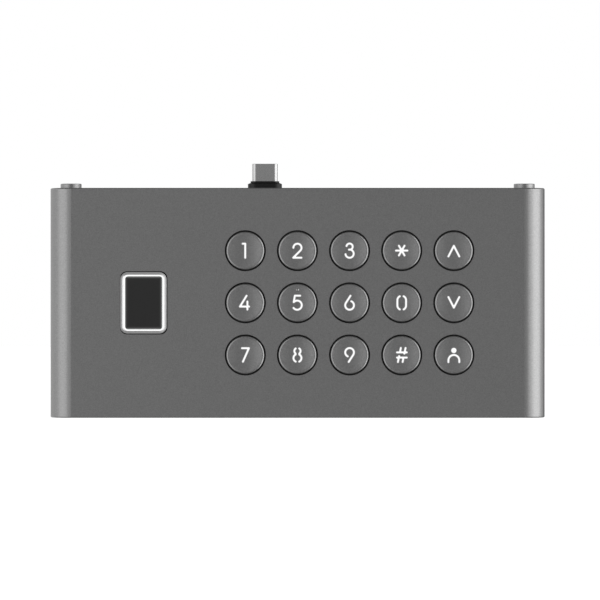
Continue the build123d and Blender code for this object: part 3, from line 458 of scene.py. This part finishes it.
# %% Make the metals
BLASTED = {
    "Grains per metre": 2900.0,
    "Clouds per metre": 700.0,
    "Cloud share": 0.06,
    "Roughness": 0.34,
    "Roughness spread": 0.08,
}
SATIN = {"Grains per metre": 6000.0, "Roughness": 0.3, "Roughness spread": 0.06}
STAINLESS = {"Grains per metre": 6000.0, "Roughness": 0.3, "Roughness spread": 0.1}
PLATED = {"Grains per metre": 9000.0, "Roughness": 0.22}
DRAWN = {"Per metre X": 5000.0, "Per metre Y": 5000.0, "Per metre Z": 250.0, "Roughness": 0.24}
TURNED = {"Roughness": 0.36, "Roughness spread": 0.08}
PRESSED = {"Per metre Y": 8000.0, "Per metre Z": 300.0, "Roughness": 0.35}
KNURLED = {"Per metre Y": 9000.0, "Per metre Z": 300.0, "Roughness": 0.28}
metals = (
    ("grey_aluminium", grain_group, BLASTED, grey(0.245), grey(0.51), 2),
    ("key_metal", grain_group, BLASTED, grey(0.245), grey(0.51), 2),
    ("bright_bezel", grain_group, SATIN, grey(0.76), grey(0.84), 1),
    ("plug_steel", tool_lines_group, DRAWN, grey(0.63), grey(0.76), 1),
    ("stud_steel", tool_lines_group, TURNED, grey(0.38), grey(0.47), 2),
    ("screw_steel", grain_group, STAINLESS, grey(0.48), grey(0.6), 2),
    ("bare_aluminium", tool_lines_group, PRESSED, grey(0.74), grey(0.82), 1),
    ("insert_brass", tool_lines_group, KNURLED, (0.66, 0.47, 0.2), (0.8, 0.6, 0.3), 2),
    ("contact_gold", grain_group, PLATED, (0.85, 0.6, 0.22), (0.95, 0.72, 0.32), 1),
)
finishes = {}
for slot, group, values, dark, light, microns in metals:
    bump_depth = microns * MICRON
    finishes[slot] = new_finish(slot + "_finish", group, values, dark, light, bump_depth, Metallic=1.0)
print("metals", len(finishes))

# %% [markdown]
# ### Painted shade on the skirts and bores
# The painted shade stands in for the shade in the gaps: it replaces the metal's colour with dark grey, makes
# it rough and takes the metal's mirror away. On the caps it covers all that lies below the front face, and so
# it does on the sensor's frame, whose flange would shine up through the gap round it. On the shell it must
# stay in the openings of the front wall, so there the box ends a little outside the key field on one side and
# the sensor on the other.

# %% Helper that paints shade into a region
# The dark grey is painted shade for the narrow gaps, not a colour that the metal has.
PAINTED_SHADE_GREY = grey(0.12)
PAINTED_SHADE_ROUGHNESS = 0.6


def paint_shade(finish, low, high):
    """Painted shade on a metal finish inside the box with those two corners: dark grey, rough and not
    metallic.
    """
    tree = finish.node_tree
    shader = tree.nodes["Principled BSDF"]
    region = add_node(tree, "ShaderNodeGroup", {"node_tree": painted_shade_group})
    for index, axis in enumerate("XYZ"):
        region.inputs[f"Low {axis}"].default_value = low[index]
        region.inputs[f"High {axis}"].default_value = high[index]
    colour = add_node(tree, "ShaderNodeMix", {"data_type": "RGBA"}, B=(*PAINTED_SHADE_GREY, 1))
    roughness = add_node(tree, "ShaderNodeMix", {"data_type": "FLOAT"}, B=PAINTED_SHADE_ROUGHNESS)
    for mix, socket in ((colour, "Base Color"), (roughness, "Roughness")):
        tree.links.new(shader.inputs[socket].links[0].from_socket, mix.inputs["A"])
        join(tree, region, "Paint", mix, "Factor")
        join(tree, mix, "Result", shader, socket)
    unshaded_metal = calculate(tree, "SUBTRACT", 1.0, region.outputs["Paint"])
    tree.links.new(unshaded_metal, shader.inputs["Metallic"])


print("paint grey", PAINTED_SHADE_GREY[0], "roughness", PAINTED_SHADE_ROUGHNESS)

# %% Darken the skirts, the bores and the frame's flange with painted shade
PAINTED_SHADE_START = 0.1 * MM
OPENING_MARGIN = 0.6 * MM
FRONT_WALL = 2.5 * MM

cap_boxes = [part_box(name) for name in frame["nodes"] if name.endswith("_cap")]
field_low = Vector([min(low[axis] for low, high in cap_boxes) for axis in range(3)])
field_high = Vector([max(high[axis] for low, high in cap_boxes) for axis in range(3)])
opening_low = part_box("sensor_gasket")[0]
margin = Vector((OPENING_MARGIN, 0, OPENING_MARGIN))
beyond = 2 * margin + Vector((0, FRONT_WALL, 0))
painted_shade_start_y = front_y + PAINTED_SHADE_START
skirt_shade_low = Vector((field_low.x, painted_shade_start_y, field_low.z)) - margin
# Painted shade in the gaps: on the caps' skirts, in the shell's bores and on the frame's flange.
paint_shade(finishes["key_metal"], skirt_shade_low, field_high + beyond)
bore_shade_low = Vector((opening_low.x, painted_shade_start_y, field_low.z - OPENING_MARGIN))
bore_shade_high = Vector((field_high.x, front_y + FRONT_WALL, field_high.z)) + margin
paint_shade(finishes["grey_aluminium"], bore_shade_low, bore_shade_high)
bezel_low, bezel_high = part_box("sensor_bezel")
flange_shade_low = Vector((bezel_low.x, painted_shade_start_y, bezel_low.z)) - margin
paint_shade(finishes["bright_bezel"], flange_shade_low, bezel_high + beyond)
print("paint starts", round(PAINTED_SHADE_START / MM, 2), "mm below the front face")

# %% [markdown]
# ### Plastics and rubber
# The plug's base and the rear cover are black mouldings, the first smooth, the second with the fine texture
# that hides fingerprints. Boards, sockets and seals inside get quiet finishes of their own, because the
# model may be opened one day. A second table holds them all, and every row uses the grain group.

# %% Make the plastics
MOULDED = {"Grains per metre": 3000.0, "Clouds per metre": 250.0, "Roughness": 0.5, "Roughness spread": 0.12}
SMOOTH = {"Grains per metre": 2500.0, "Clouds per metre": 200.0, "Roughness": 0.3, "Roughness spread": 0.08}
SOFT = {"Grains per metre": 2200.0, "Clouds per metre": 150.0, "Roughness": 0.65, "Roughness spread": 0.1}
plastics = (
    ("cover_plastic", MOULDED, grey(0.022), grey(0.034), 12),
    ("black_plastic", MOULDED, grey(0.016), grey(0.026), 6),
    ("plug_black", SMOOTH, grey(0.004), grey(0.007), 2),
    ("chip_black", MOULDED, grey(0.014), grey(0.022), 4),
    ("socket_white", SMOOTH, grey(0.66, 0.94), grey(0.76, 0.95), 2),
    ("ribbon_white", SMOOTH, grey(0.7), grey(0.8), 1),
    ("lamp_white", SMOOTH, grey(0.75, 0.95), grey(0.88, 0.95), 1),
    ("board_green", SMOOTH, (0.012, 0.085, 0.035), (0.02, 0.13, 0.055), 2),
    ("seal_rubber", SOFT, grey(0.018), grey(0.028), 6),
    ("mat_rubber", SOFT, grey(0.66), grey(0.76), 3),
)
for slot, values, dark, light, microns in plastics:
    finishes[slot] = new_finish(slot + "_finish", grain_group, values, dark, light, microns * MICRON)
print("finishes so far", len(finishes))

# %% [markdown]
# ### Dark window and lit plastic
# The sensor's window is a hard dark coating with almost no grain. The ring round it and the signs on the keys
# are white plastic that is lit from behind, so they give off light themselves. Together with the light that
# falls on them from outside they come out just white.

# %% Make the window and the lit plastic
finishes["sensor_glass"] = new_finish(
    "sensor_glass_finish",
    grain_group,
    {"Grains per metre": 12000.0, "Clouds per metre": 400.0, "Roughness": 0.22, "Roughness spread": 0.03},
    grey(0.019),
    grey(0.024),
    0.3 * MICRON,
    Coat_Weight=0.3,
    Emission_Strength=1.0,
)
finishes["lit_plastic"] = new_finish(
    "lit_plastic_finish",
    grain_group,
    {"Grains per metre": 6000.0, "Roughness": 0.35, "Roughness spread": 0.05},
    grey(0.46),
    grey(0.54),
    1 * MICRON,
    Emission_Color=(1.0, 1.0, 1.0, 1.0),
    Emission_Strength=0.76,
)
print("finishes so far", len(finishes))

# %% [markdown]
# ### The glow at the window's edge
# The edge-glow group goes into the window's finish only, with the outline of the window. The sensor sits a
# hair left of the middle of its opening, as a part does that has some play there, so the glow shifts with it.

# %% Let the ring's light into the window's edge
WINDOW_HALF_WIDTH = 5.935 * MM
GLOW_REACH = 0.18 * MM
GLOW_STRENGTH = 0.3
SENSOR_SHIFT = Vector((-0.06 * MM, 0, 0))

window_low, window_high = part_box("sensor_window")
window_middle = (window_low + window_high) / 2 + SENSOR_SHIFT
window_half_height = (window_high.z - window_low.z) / 2
tree = finishes["sensor_glass"].node_tree
edge = add_node(
    tree,
    "ShaderNodeGroup",
    {"node_tree": edge_glow_group},
    Middle_X=window_middle.x,
    Half_width=WINDOW_HALF_WIDTH,
    Half_height=window_half_height,
    Reach=GLOW_REACH,
    Strength=GLOW_STRENGTH,
)
join(tree, edge, "Glow", tree.nodes["Principled BSDF"], "Emission Color")
print("window middle at x", round(window_middle.x / MM, 2), "mm")

# %% [markdown]
# ### The signs' plastic
# The plastic in a sign is brightest in the middle of a stroke and dimmer along the walls of the cut, which
# gives the lit strokes their soft edge. Each sign's mesh carries that as a value at every corner point: 1 in
# the core of a stroke and 0 at its wall. The finish reads it with an Attribute node.

# %% Make the signs' plastic
CORE_NAME = "core"
CORE_POWER = 1.5
SIGN_WALL_COLOUR = (*grey(0.12), 1)

finishes["lit_sign"] = finishes["lit_plastic"].copy()
finishes["lit_sign"].name = "lit_sign_finish"
tree = finishes["lit_sign"].node_tree
shader = tree.nodes["Principled BSDF"]
core = add_node(tree, "ShaderNodeAttribute", {"attribute_name": CORE_NAME})
soft = calculate(tree, "POWER", core.outputs["Fac"], CORE_POWER)
tree.links.new(soft, shader.inputs["Emission Color"])
plastic = add_node(tree, "ShaderNodeMix", {"data_type": "RGBA"}, A=SIGN_WALL_COLOUR)
tree.links.new(shader.inputs["Base Color"].links[0].from_socket, plastic.inputs["B"])
join(tree, core, "Fac", plastic, "Factor")
join(tree, plastic, "Result", shader, "Base Color")
print("sign finish has", len(tree.nodes), "nodes")

# %% [markdown]
# ## Dress the CAD pieces
# The record that comes with the CAD model says which finish each node takes. We only swap the material in
# the node's own slots, so the mesh stays as it came.

# %% Give every node its finish
for row in frame["record"]["subparts"]:
    node = frame["nodes"][row["node"]]
    for place in node.material_slots:
        place.material = finishes[row["material_slot"]]

# %% [markdown]
# ## The signs on the keys
# Each cap has its sign cut right through it, and clear white plastic fills the cut and carries the light of
# a lamp below. Blender's text object could set the numbers, but it brings a whole typeface, and these signs
# are drawn with one round-ended cutter. So each sign is a few strokes, straight lines and arcs, given in
# millimetres from the middle of its key. The last key, which calls someone, has a plain sign of a person.

# %% Draw strokes as lines and arcs
STROKE_WIDTH_MM = 0.94
CORE_WIDTH_MM = 0.3
STEP_MM = 0.25


def line(*corners):
    """Straight strokes from corner to corner, each a list of two points."""
    return [[start, end] for start, end in zip(corners, corners[1:])]


def arc(x, z, radius, start, end):
    """One stroke along an arc. Angles are in degrees, counter-clockwise from the right."""
    steps = ceil(abs(radians(end - start)) * radius / STEP_MM)
    angles = [radians(start + (end - start) * step / steps) for step in range(steps + 1)]
    return [[(x + radius * cos(angle), z + radius * sin(angle)) for angle in angles]]


def ring(x, z, radius):
    """A full circle, as two half turns, because a ribbon may not close on itself."""
    return arc(x, z, radius, 0, 180) + arc(x, z, radius, 180, 360)


def mirrored(strokes):
    """The strokes together with their mirror image left to right."""
    return strokes + [[(-x, z) for x, z in stroke] for stroke in strokes]


def sloped(slope_degrees, reach, z=0.0):
    """A straight stroke through the middle at that slope, reaching out both ways."""
    x_reach = reach * cos(radians(slope_degrees))
    z_reach = reach * sin(radians(slope_degrees))
    return line((-x_reach, z - z_reach), (x_reach, z + z_reach))


print("cutter", STROKE_WIDTH_MM, "mm wide")

# %% [markdown]
# ### The fifteen signs
# The numbers share one height, to within a fifth of a millimetre. Most round parts are arcs with a radius of
# 1 to 1.5 mm, so that the strokes keep clear of each other and the metal between them stays strong. Where
# strokes would close round a patch of metal, as in 0, 8 and #, the patch would fall out, so bridges are left
# standing, as in a stencil.

# %% List the signs
SIGN_TOP = 2.25
SIGNS = {
    "1": line((-0.85, SIGN_TOP), (-0.03, SIGN_TOP), (-0.03, -SIGN_TOP)),
    "2": arc(0, 0.95, 1.3, 180, -45) + line((0.92, 0.03), (-1.35, -SIGN_TOP), (1.28, -SIGN_TOP)),
    "3": arc(0, 1.3, 1.0, 168, -75) + line((0.25, 0.35), (-0.2, 0.35)) + arc(0, -0.95, 1.32, 85, -172),
    "star": sloped(0, 1.83, 0.04) + sloped(60, 1.8, 0.04) + sloped(-60, 1.8, 0.04),
    "up": line((-1.75, -1.84), (0, 1.56), (1.75, -1.84)),
    "4": line((0.4, 2.28), (-1.73, -1.2), (1.22, -1.2)) + line((0.67, 0.42), (0.67, -2.14)),
    "5": line((0.88, 2.3), (-0.83, 2.3), (-1.2, 0.25)) + arc(-0.08, -0.75, 1.47, 138, -143),
    "6": line((0.29, 2.28), (-1.27, -0.15)) + arc(0, -0.8, 1.41, 152, 427),
    "0": mirrored(
        arc(0, 0.85, 1.4, 116, 180) + line((-1.4, 0.85), (-1.4, -0.85)) + arc(0, -0.85, 1.4, 180, 244)
    ),
    "down": line((-1.75, 1.86), (0, -1.54), (1.75, 1.86)),
    "7": line((-1.07, 2.18), (1.15, 2.18), (-0.77, -2.16)),
    "8": mirrored(
        arc(0, 1.27, 1.0, 125, 233) + line((-0.6, 0.47), (-0.6, 0.15)) + arc(0, -0.98, 1.28, 118, 243)
    ),
    "9": line((-0.29, -2.23), (1.21, 0.1)) + arc(0, 0.82, 1.4, -31, 245),
    "hash": line((-1.51, 0.83), (1.62, 0.83))
    + line((-1.51, -0.84), (1.62, -0.84))
    + line((-0.28, SIGN_TOP), (-0.58, 0.83))
    + line((-0.83, -0.37), (-1.22, -SIGN_TOP))
    + line((1.23, SIGN_TOP), (0.85, 0.45))
    + line((0.58, -0.84), (0.29, -SIGN_TOP)),
    "call": ring(0, 1.45, 0.55)
    + line((-0.2, 1.45), (0.2, 1.45))
    + arc(0, -1.75, 1.75, 0, 180)
    + mirrored(line((-1.75, -1.75), (-1.75, -2.3))),
}
print("signs", len(SIGNS), "strokes", sum(len(strokes) for strokes in SIGNS.values()))

# %% [markdown]
# ### From strokes to one figure
# Each stroke becomes a ribbon with round ends, with a narrow ribbon along its core. Where ribbons cross they
# would overlap, which shows as flickering faces, so all ribbons of a sign are joined in the plane first: the
# triangulation below cuts them along each other, and only the triangles that lie in some ribbon are kept.

# %% Turn a stroke into a ribbon
CAP_STEPS = 8


def ribbon(stroke, half):
    """The outline of a stroke along the points, with round ends, counter-clockwise."""
    headings = []
    for index in range(len(stroke)):
        before = stroke[max(index - 1, 0)]
        after = stroke[min(index + 1, len(stroke) - 1)]
        headings.append(atan2(after[1] - before[1], after[0] - before[0]))
    right = [(x + half * sin(a), z - half * cos(a)) for (x, z), a in zip(stroke, headings)]
    left = [(x - half * sin(a), z + half * cos(a)) for (x, z), a in zip(stroke, headings)]
    turns = [pi * step / CAP_STEPS - pi / 2 for step in range(1, CAP_STEPS)]

    def round_end(corner, heading, reach):
        return [(corner[0] + reach * cos(heading + t), corner[1] + reach * sin(heading + t)) for t in turns]

    end_cap = round_end(stroke[-1], headings[-1], half)
    start_cap = round_end(stroke[0], headings[0], -half)
    return right + end_cap + left[::-1] + start_cap


print("points round a straight ribbon", len(ribbon([(0, 0), (1, 0)], STROKE_WIDTH_MM / 2)))

# %% Join the ribbons of a sign
from mathutils.geometry import delaunay_2d_cdt

SAME_POINT_MM = 0.002


def joined_figure(strokes):
    """Corner points and triangles of all the ribbons together, with no overlaps."""
    corners, outlines = [], []
    for stroke in strokes:
        for width in (STROKE_WIDTH_MM, CORE_WIDTH_MM):
            outline = ribbon(stroke, width / 2)
            outlines.append(list(range(len(corners), len(corners) + len(outline))))
            corners.extend(Vector(corner) for corner in outline)
    points, _, triangles, _, _, inside = delaunay_2d_cdt(corners, [], outlines, 0, SAME_POINT_MM)
    return points, [triangle for triangle, owners in zip(triangles, inside) if owners]


print("triangles in the 8:", len(joined_figure(SIGNS["8"])[1]))

# %% [markdown]
# ### The bright core
# A sign's finish needs to know how near each corner point is to the middle of a stroke. A texture could hold
# that, but it would need unwrapping, while a value at each point is worked out from the strokes themselves.

# %% Measure a point's share of the core
from mathutils.geometry import intersect_point_line


def core_share(point, strokes):
    """1 in the bright core of the nearest stroke, falling to 0 at the wall of the cut."""
    nearest = STROKE_WIDTH_MM
    for stroke in strokes:
        for start, end in zip(stroke, stroke[1:]):
            start, end = Vector(start), Vector(end)
            _, along = intersect_point_line(point, start, end)
            nearest = min(nearest, (point - start.lerp(end, min(max(along, 0), 1))).length)
    share = (STROKE_WIDTH_MM / 2 - nearest) / ((STROKE_WIDTH_MM - CORE_WIDTH_MM) / 2)
    return min(max(share, 0.0), 1.0)


for height in (0.0, STROKE_WIDTH_MM / 4, STROKE_WIDTH_MM / 2):
    share = core_share(Vector((0, height)), line((-1, 0), (1, 0)))
    print(height, "mm from the middle of a stroke the share is", round(share, 2))

# %% [markdown]
# ### Signs in the hollow of the caps
# Each cap has a shallow round hollow. The flat figure is bent onto that hollow, a hair proud of it, and given
# a body that reaches down into the metal, so that it is a closed solid. A shrinkwrap modifier could lay it on
# the cap too, but the hollow is part of a sphere, so its height at every point is one line of arithmetic.
# Each sign then rides on its own key and sinks with it.

# %% Work out the hollow
DISH_RIM_RADIUS_MM = 5.4
DISH_DEPTH_MM = 0.44
DISH_RADIUS_MM = (DISH_RIM_RADIUS_MM**2 + DISH_DEPTH_MM**2) / (2 * DISH_DEPTH_MM)
RIM_Y_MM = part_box("key_1_cap")[0].y / MM
print("hollow's radius", round(DISH_RADIUS_MM, 2), "mm, rim at y", round(RIM_Y_MM, 2), "mm")

# %% Bend each figure onto its key and give it depth
import bmesh

SIGN_PROUD_MM = 0.03
SIGN_DEPTH_MM = 0.3


def closed_mesh(solid, name):
    """The mesh of a closed solid, with its faces turned outwards."""
    bmesh.ops.recalc_face_normals(solid, faces=solid.faces)
    mesh = bpy.data.meshes.new(name)
    solid.to_mesh(mesh)
    solid.free()
    return mesh


def sign_mesh(key_name):
    """A closed mesh of that key's sign. Its front follows the hollow of the cap."""
    guide_low, guide_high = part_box(f"key_{key_name}_light_guide")
    centre = (guide_low + guide_high) / 2
    points, triangles = joined_figure(SIGNS[key_name])
    solid = bmesh.new()
    core = solid.verts.layers.float.new(CORE_NAME)
    front, back = [], []
    for x, z in points:
        share = core_share(Vector((x, z)), SIGNS[key_name])
        rise = DISH_RADIUS_MM - sqrt(DISH_RADIUS_MM**2 - x * x - z * z)
        front_y_mm = RIM_Y_MM + DISH_DEPTH_MM - rise - SIGN_PROUD_MM
        for row, y in ((front, front_y_mm), (back, front_y_mm + SIGN_DEPTH_MM)):
            row.append(solid.verts.new((centre.x + x * MM, y * MM, centre.z + z * MM)))
            row[-1][core] = share
    for triangle in triangles:
        solid.faces.new([front[corner] for corner in triangle])
    behind = dict(zip(front, back))
    for edge in [edge for edge in solid.edges if edge.is_boundary]:
        start, end = edge.verts
        solid.faces.new((start, end, behind[end], behind[start]))
    for triangle in triangles:
        solid.faces.new([back[corner] for corner in triangle])
    bmesh.ops.delete(solid, geom=[point for point in solid.verts if not point.link_faces], context="VERTS")
    return closed_mesh(solid, f"key_{key_name}_sign")


print("each sign is", SIGN_DEPTH_MM, "mm deep and", SIGN_PROUD_MM, "mm proud")

# %% Put the signs in their caps
def new_piece(mesh, finish):
    """A piece in the scene with that mesh and finish."""
    mesh.materials.append(finish)
    piece = bpy.data.objects.new(mesh.name, mesh)
    bpy.context.scene.collection.objects.link(piece)
    print(mesh.name, len(mesh.polygons), "faces")
    return piece


for key_name in SIGNS:
    sign = new_piece(sign_mesh(key_name), finishes["lit_sign"])
    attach(sign, f"key_{key_name}")

# %% [markdown]
# ## The sensor's frame
# The bright frame round the sensor is crowned: it is level at its sharp outer edge and falls away towards
# the lit ring, so each side mirrors the far side of the room. The CAD frame has the same outline but a simple
# rounded edge, so a finer piece replaces it: one cross-section, swept round the rounded rectangle. A bevel
# modifier on a box could not give two different edges.

# %% Helper that draws a rounded rectangle
CORNER_STEPS = 12
QUARTERS = ((1, 1), (-1, 1), (-1, -1), (1, -1))


def rounded_outline(centre, half_width, half_height, corner, y):
    """Points round a rounded rectangle at that depth, counter-clockwise as seen from the front."""
    points = []
    for turn, (x_sign, z_sign) in enumerate(QUARTERS):
        for step in range(CORNER_STEPS + 1):
            angle = pi / 2 * (turn + step / CORNER_STEPS)
            x = centre.x + x_sign * (half_width - corner) + corner * cos(angle)
            z = centre.z + z_sign * (half_height - corner) + corner * sin(angle)
            points.append((x, y, z))
    return points


print("points in each loop", len(QUARTERS) * (CORNER_STEPS + 1))

# %% Helper that sweeps a section round it
SHARP_ANGLE = 30


def turned(items):
    """The same list, begun at its second item."""
    return items[1:] + items[:1]


def swept_piece(name, centre, half_width, half_height, corner, section, filled=False):
    """A closed mesh. The section lists insets from the outline and depths below the front face. It closes
    on itself for a frame, and its first and last loops are filled for a plate."""
    solid = bmesh.new()
    loops = []
    for inset, depth in section:
        sizes = (half_width - inset, half_height - inset, corner - inset)
        loops.append([solid.verts.new(point) for point in rounded_outline(centre, *sizes, front_y + depth)])
    if filled:
        solid.faces.new(loops[0])
        solid.faces.new(loops[-1])
    for loop, after in zip(loops, loops[1:] if filled else turned(loops)):
        for start, end, after_start, after_end in zip(loop, turned(loop), after, turned(after)):
            solid.faces.new((start, end, after_end, after_start))
    for face in solid.faces:
        face.smooth = True
    mesh = closed_mesh(solid, name)
    mesh.set_sharp_from_angle(angle=radians(SHARP_ANGLE))
    return mesh


print("edges of more than", SHARP_ANGLE, "degrees stay crisp")

# %% Helper that puts a piece in a node's place
def hang_piece(mesh, node, slot):
    """Put that mesh in the place of a CAD node on the housing."""
    piece = new_piece(mesh, finishes[slot])
    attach(piece, "housing")
    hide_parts(node)


print("CAD frame's box in mm", [round(side / MM, 2) for side in bezel_high - bezel_low])

# %% [markdown]
# ### The crowned frame
# The section starts at the frame's outer edge, climbs over the crown, goes down inside the opening and comes
# back under the shell as the flange that holds the frame. The crown is part of a circle, so a few steps along
# it are enough. Both of its ends are broken by a hair, because no real edge is perfectly sharp. Like the
# sensor, the frame sits a hair left of the middle of its opening.

# %% Work out the crowned section
BEZEL_HALF_WIDTH = 7.39 * MM
BEZEL_BAND = 0.86 * MM
BEZEL_PROUD = 0.4 * MM
CROWN_RADIUS = 1.9 * MM
CROWN_STEPS = 8
EDGE_BREAK = 0.05 * MM
FLANGE_THICKNESS = 1.0 * MM

flange_reach = (bezel_high.x - bezel_low.x) / 2 - BEZEL_HALF_WIDTH
flange_back = bezel_high.y - front_y
flange_front = flange_back - FLANGE_THICKNESS
crown = []
for step in range(CROWN_STEPS + 1):
    along = EDGE_BREAK + (BEZEL_BAND - 2 * EDGE_BREAK) * step / CROWN_STEPS
    fall = CROWN_RADIUS - sqrt(CROWN_RADIUS**2 - (along - EDGE_BREAK) ** 2)
    crown.append((along, fall - BEZEL_PROUD))
section = (
    [(0.0, EDGE_BREAK - BEZEL_PROUD)]
    + crown
    + [
        (BEZEL_BAND, crown[-1][1] + EDGE_BREAK),
        (BEZEL_BAND, flange_back),
        (-flange_reach, flange_back),
        (-flange_reach, flange_front),
        (0.0, flange_front),
    ]
)
print("points in the section", len(section))

# %% Make the crowned frame
BEZEL_HALF_HEIGHT = 9.87 * MM
BEZEL_CORNER = 2.3 * MM
BEZEL_SHIFT = 1.4 * SENSOR_SHIFT

bezel_mesh = swept_piece(
    "sensor_bezel_crowned",
    (bezel_low + bezel_high) / 2 + BEZEL_SHIFT,
    BEZEL_HALF_WIDTH,
    BEZEL_HALF_HEIGHT,
    BEZEL_CORNER,
    section,
)
hang_piece(bezel_mesh, "sensor_bezel", "bright_bezel")

# %% [markdown]
# ### The lit ring and the window
# The lit ring sits in the frame's opening and the window in the ring's. Both are swept in the same way, so
# that their rounded corners run side by side with the frame's. The ring keeps the collar behind the frame
# that holds it, and the window's rim is broken by a fine slope.

# %% Make the lit ring
RING_HALF_WIDTH = 6.49 * MM
RING_HALF_HEIGHT = 8.99 * MM
RING_CORNER = 1.4 * MM
RING_BAND = 0.44 * MM
RING_COLLAR = 0.5 * MM

ring_low, ring_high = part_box("sensor_light_ring")
collar_reach = (ring_high.x - ring_low.x) / 2 - RING_HALF_WIDTH
ring_front = ring_low.y - front_y
ring_back = ring_high.y - front_y
ring_section = [
    (0.0, ring_front),
    (RING_BAND, ring_front),
    (RING_BAND, ring_back),
    (-collar_reach, ring_back),
    (-collar_reach, ring_back - RING_COLLAR),
    (0.0, ring_back - RING_COLLAR),
]
ring_mesh = swept_piece(
    "sensor_light_ring_swept",
    window_middle,
    RING_HALF_WIDTH,
    RING_HALF_HEIGHT,
    RING_CORNER,
    ring_section,
)
hang_piece(ring_mesh, "sensor_light_ring", "lit_plastic")

# %% Make the window
WINDOW_CORNER = 0.83 * MM

window_front = window_low.y - front_y
window_mesh = swept_piece(
    "sensor_window_swept",
    window_middle,
    WINDOW_HALF_WIDTH,
    window_half_height,
    WINDOW_CORNER,
    [(EDGE_BREAK, window_front), (0.0, window_front + EDGE_BREAK), (0.0, window_high.y - front_y)],
    filled=True,
)
hang_piece(window_mesh, "sensor_window", "sensor_glass")

# %% [markdown]
# ## The last cell
# It only imports the json module.

# %% Import json
import json
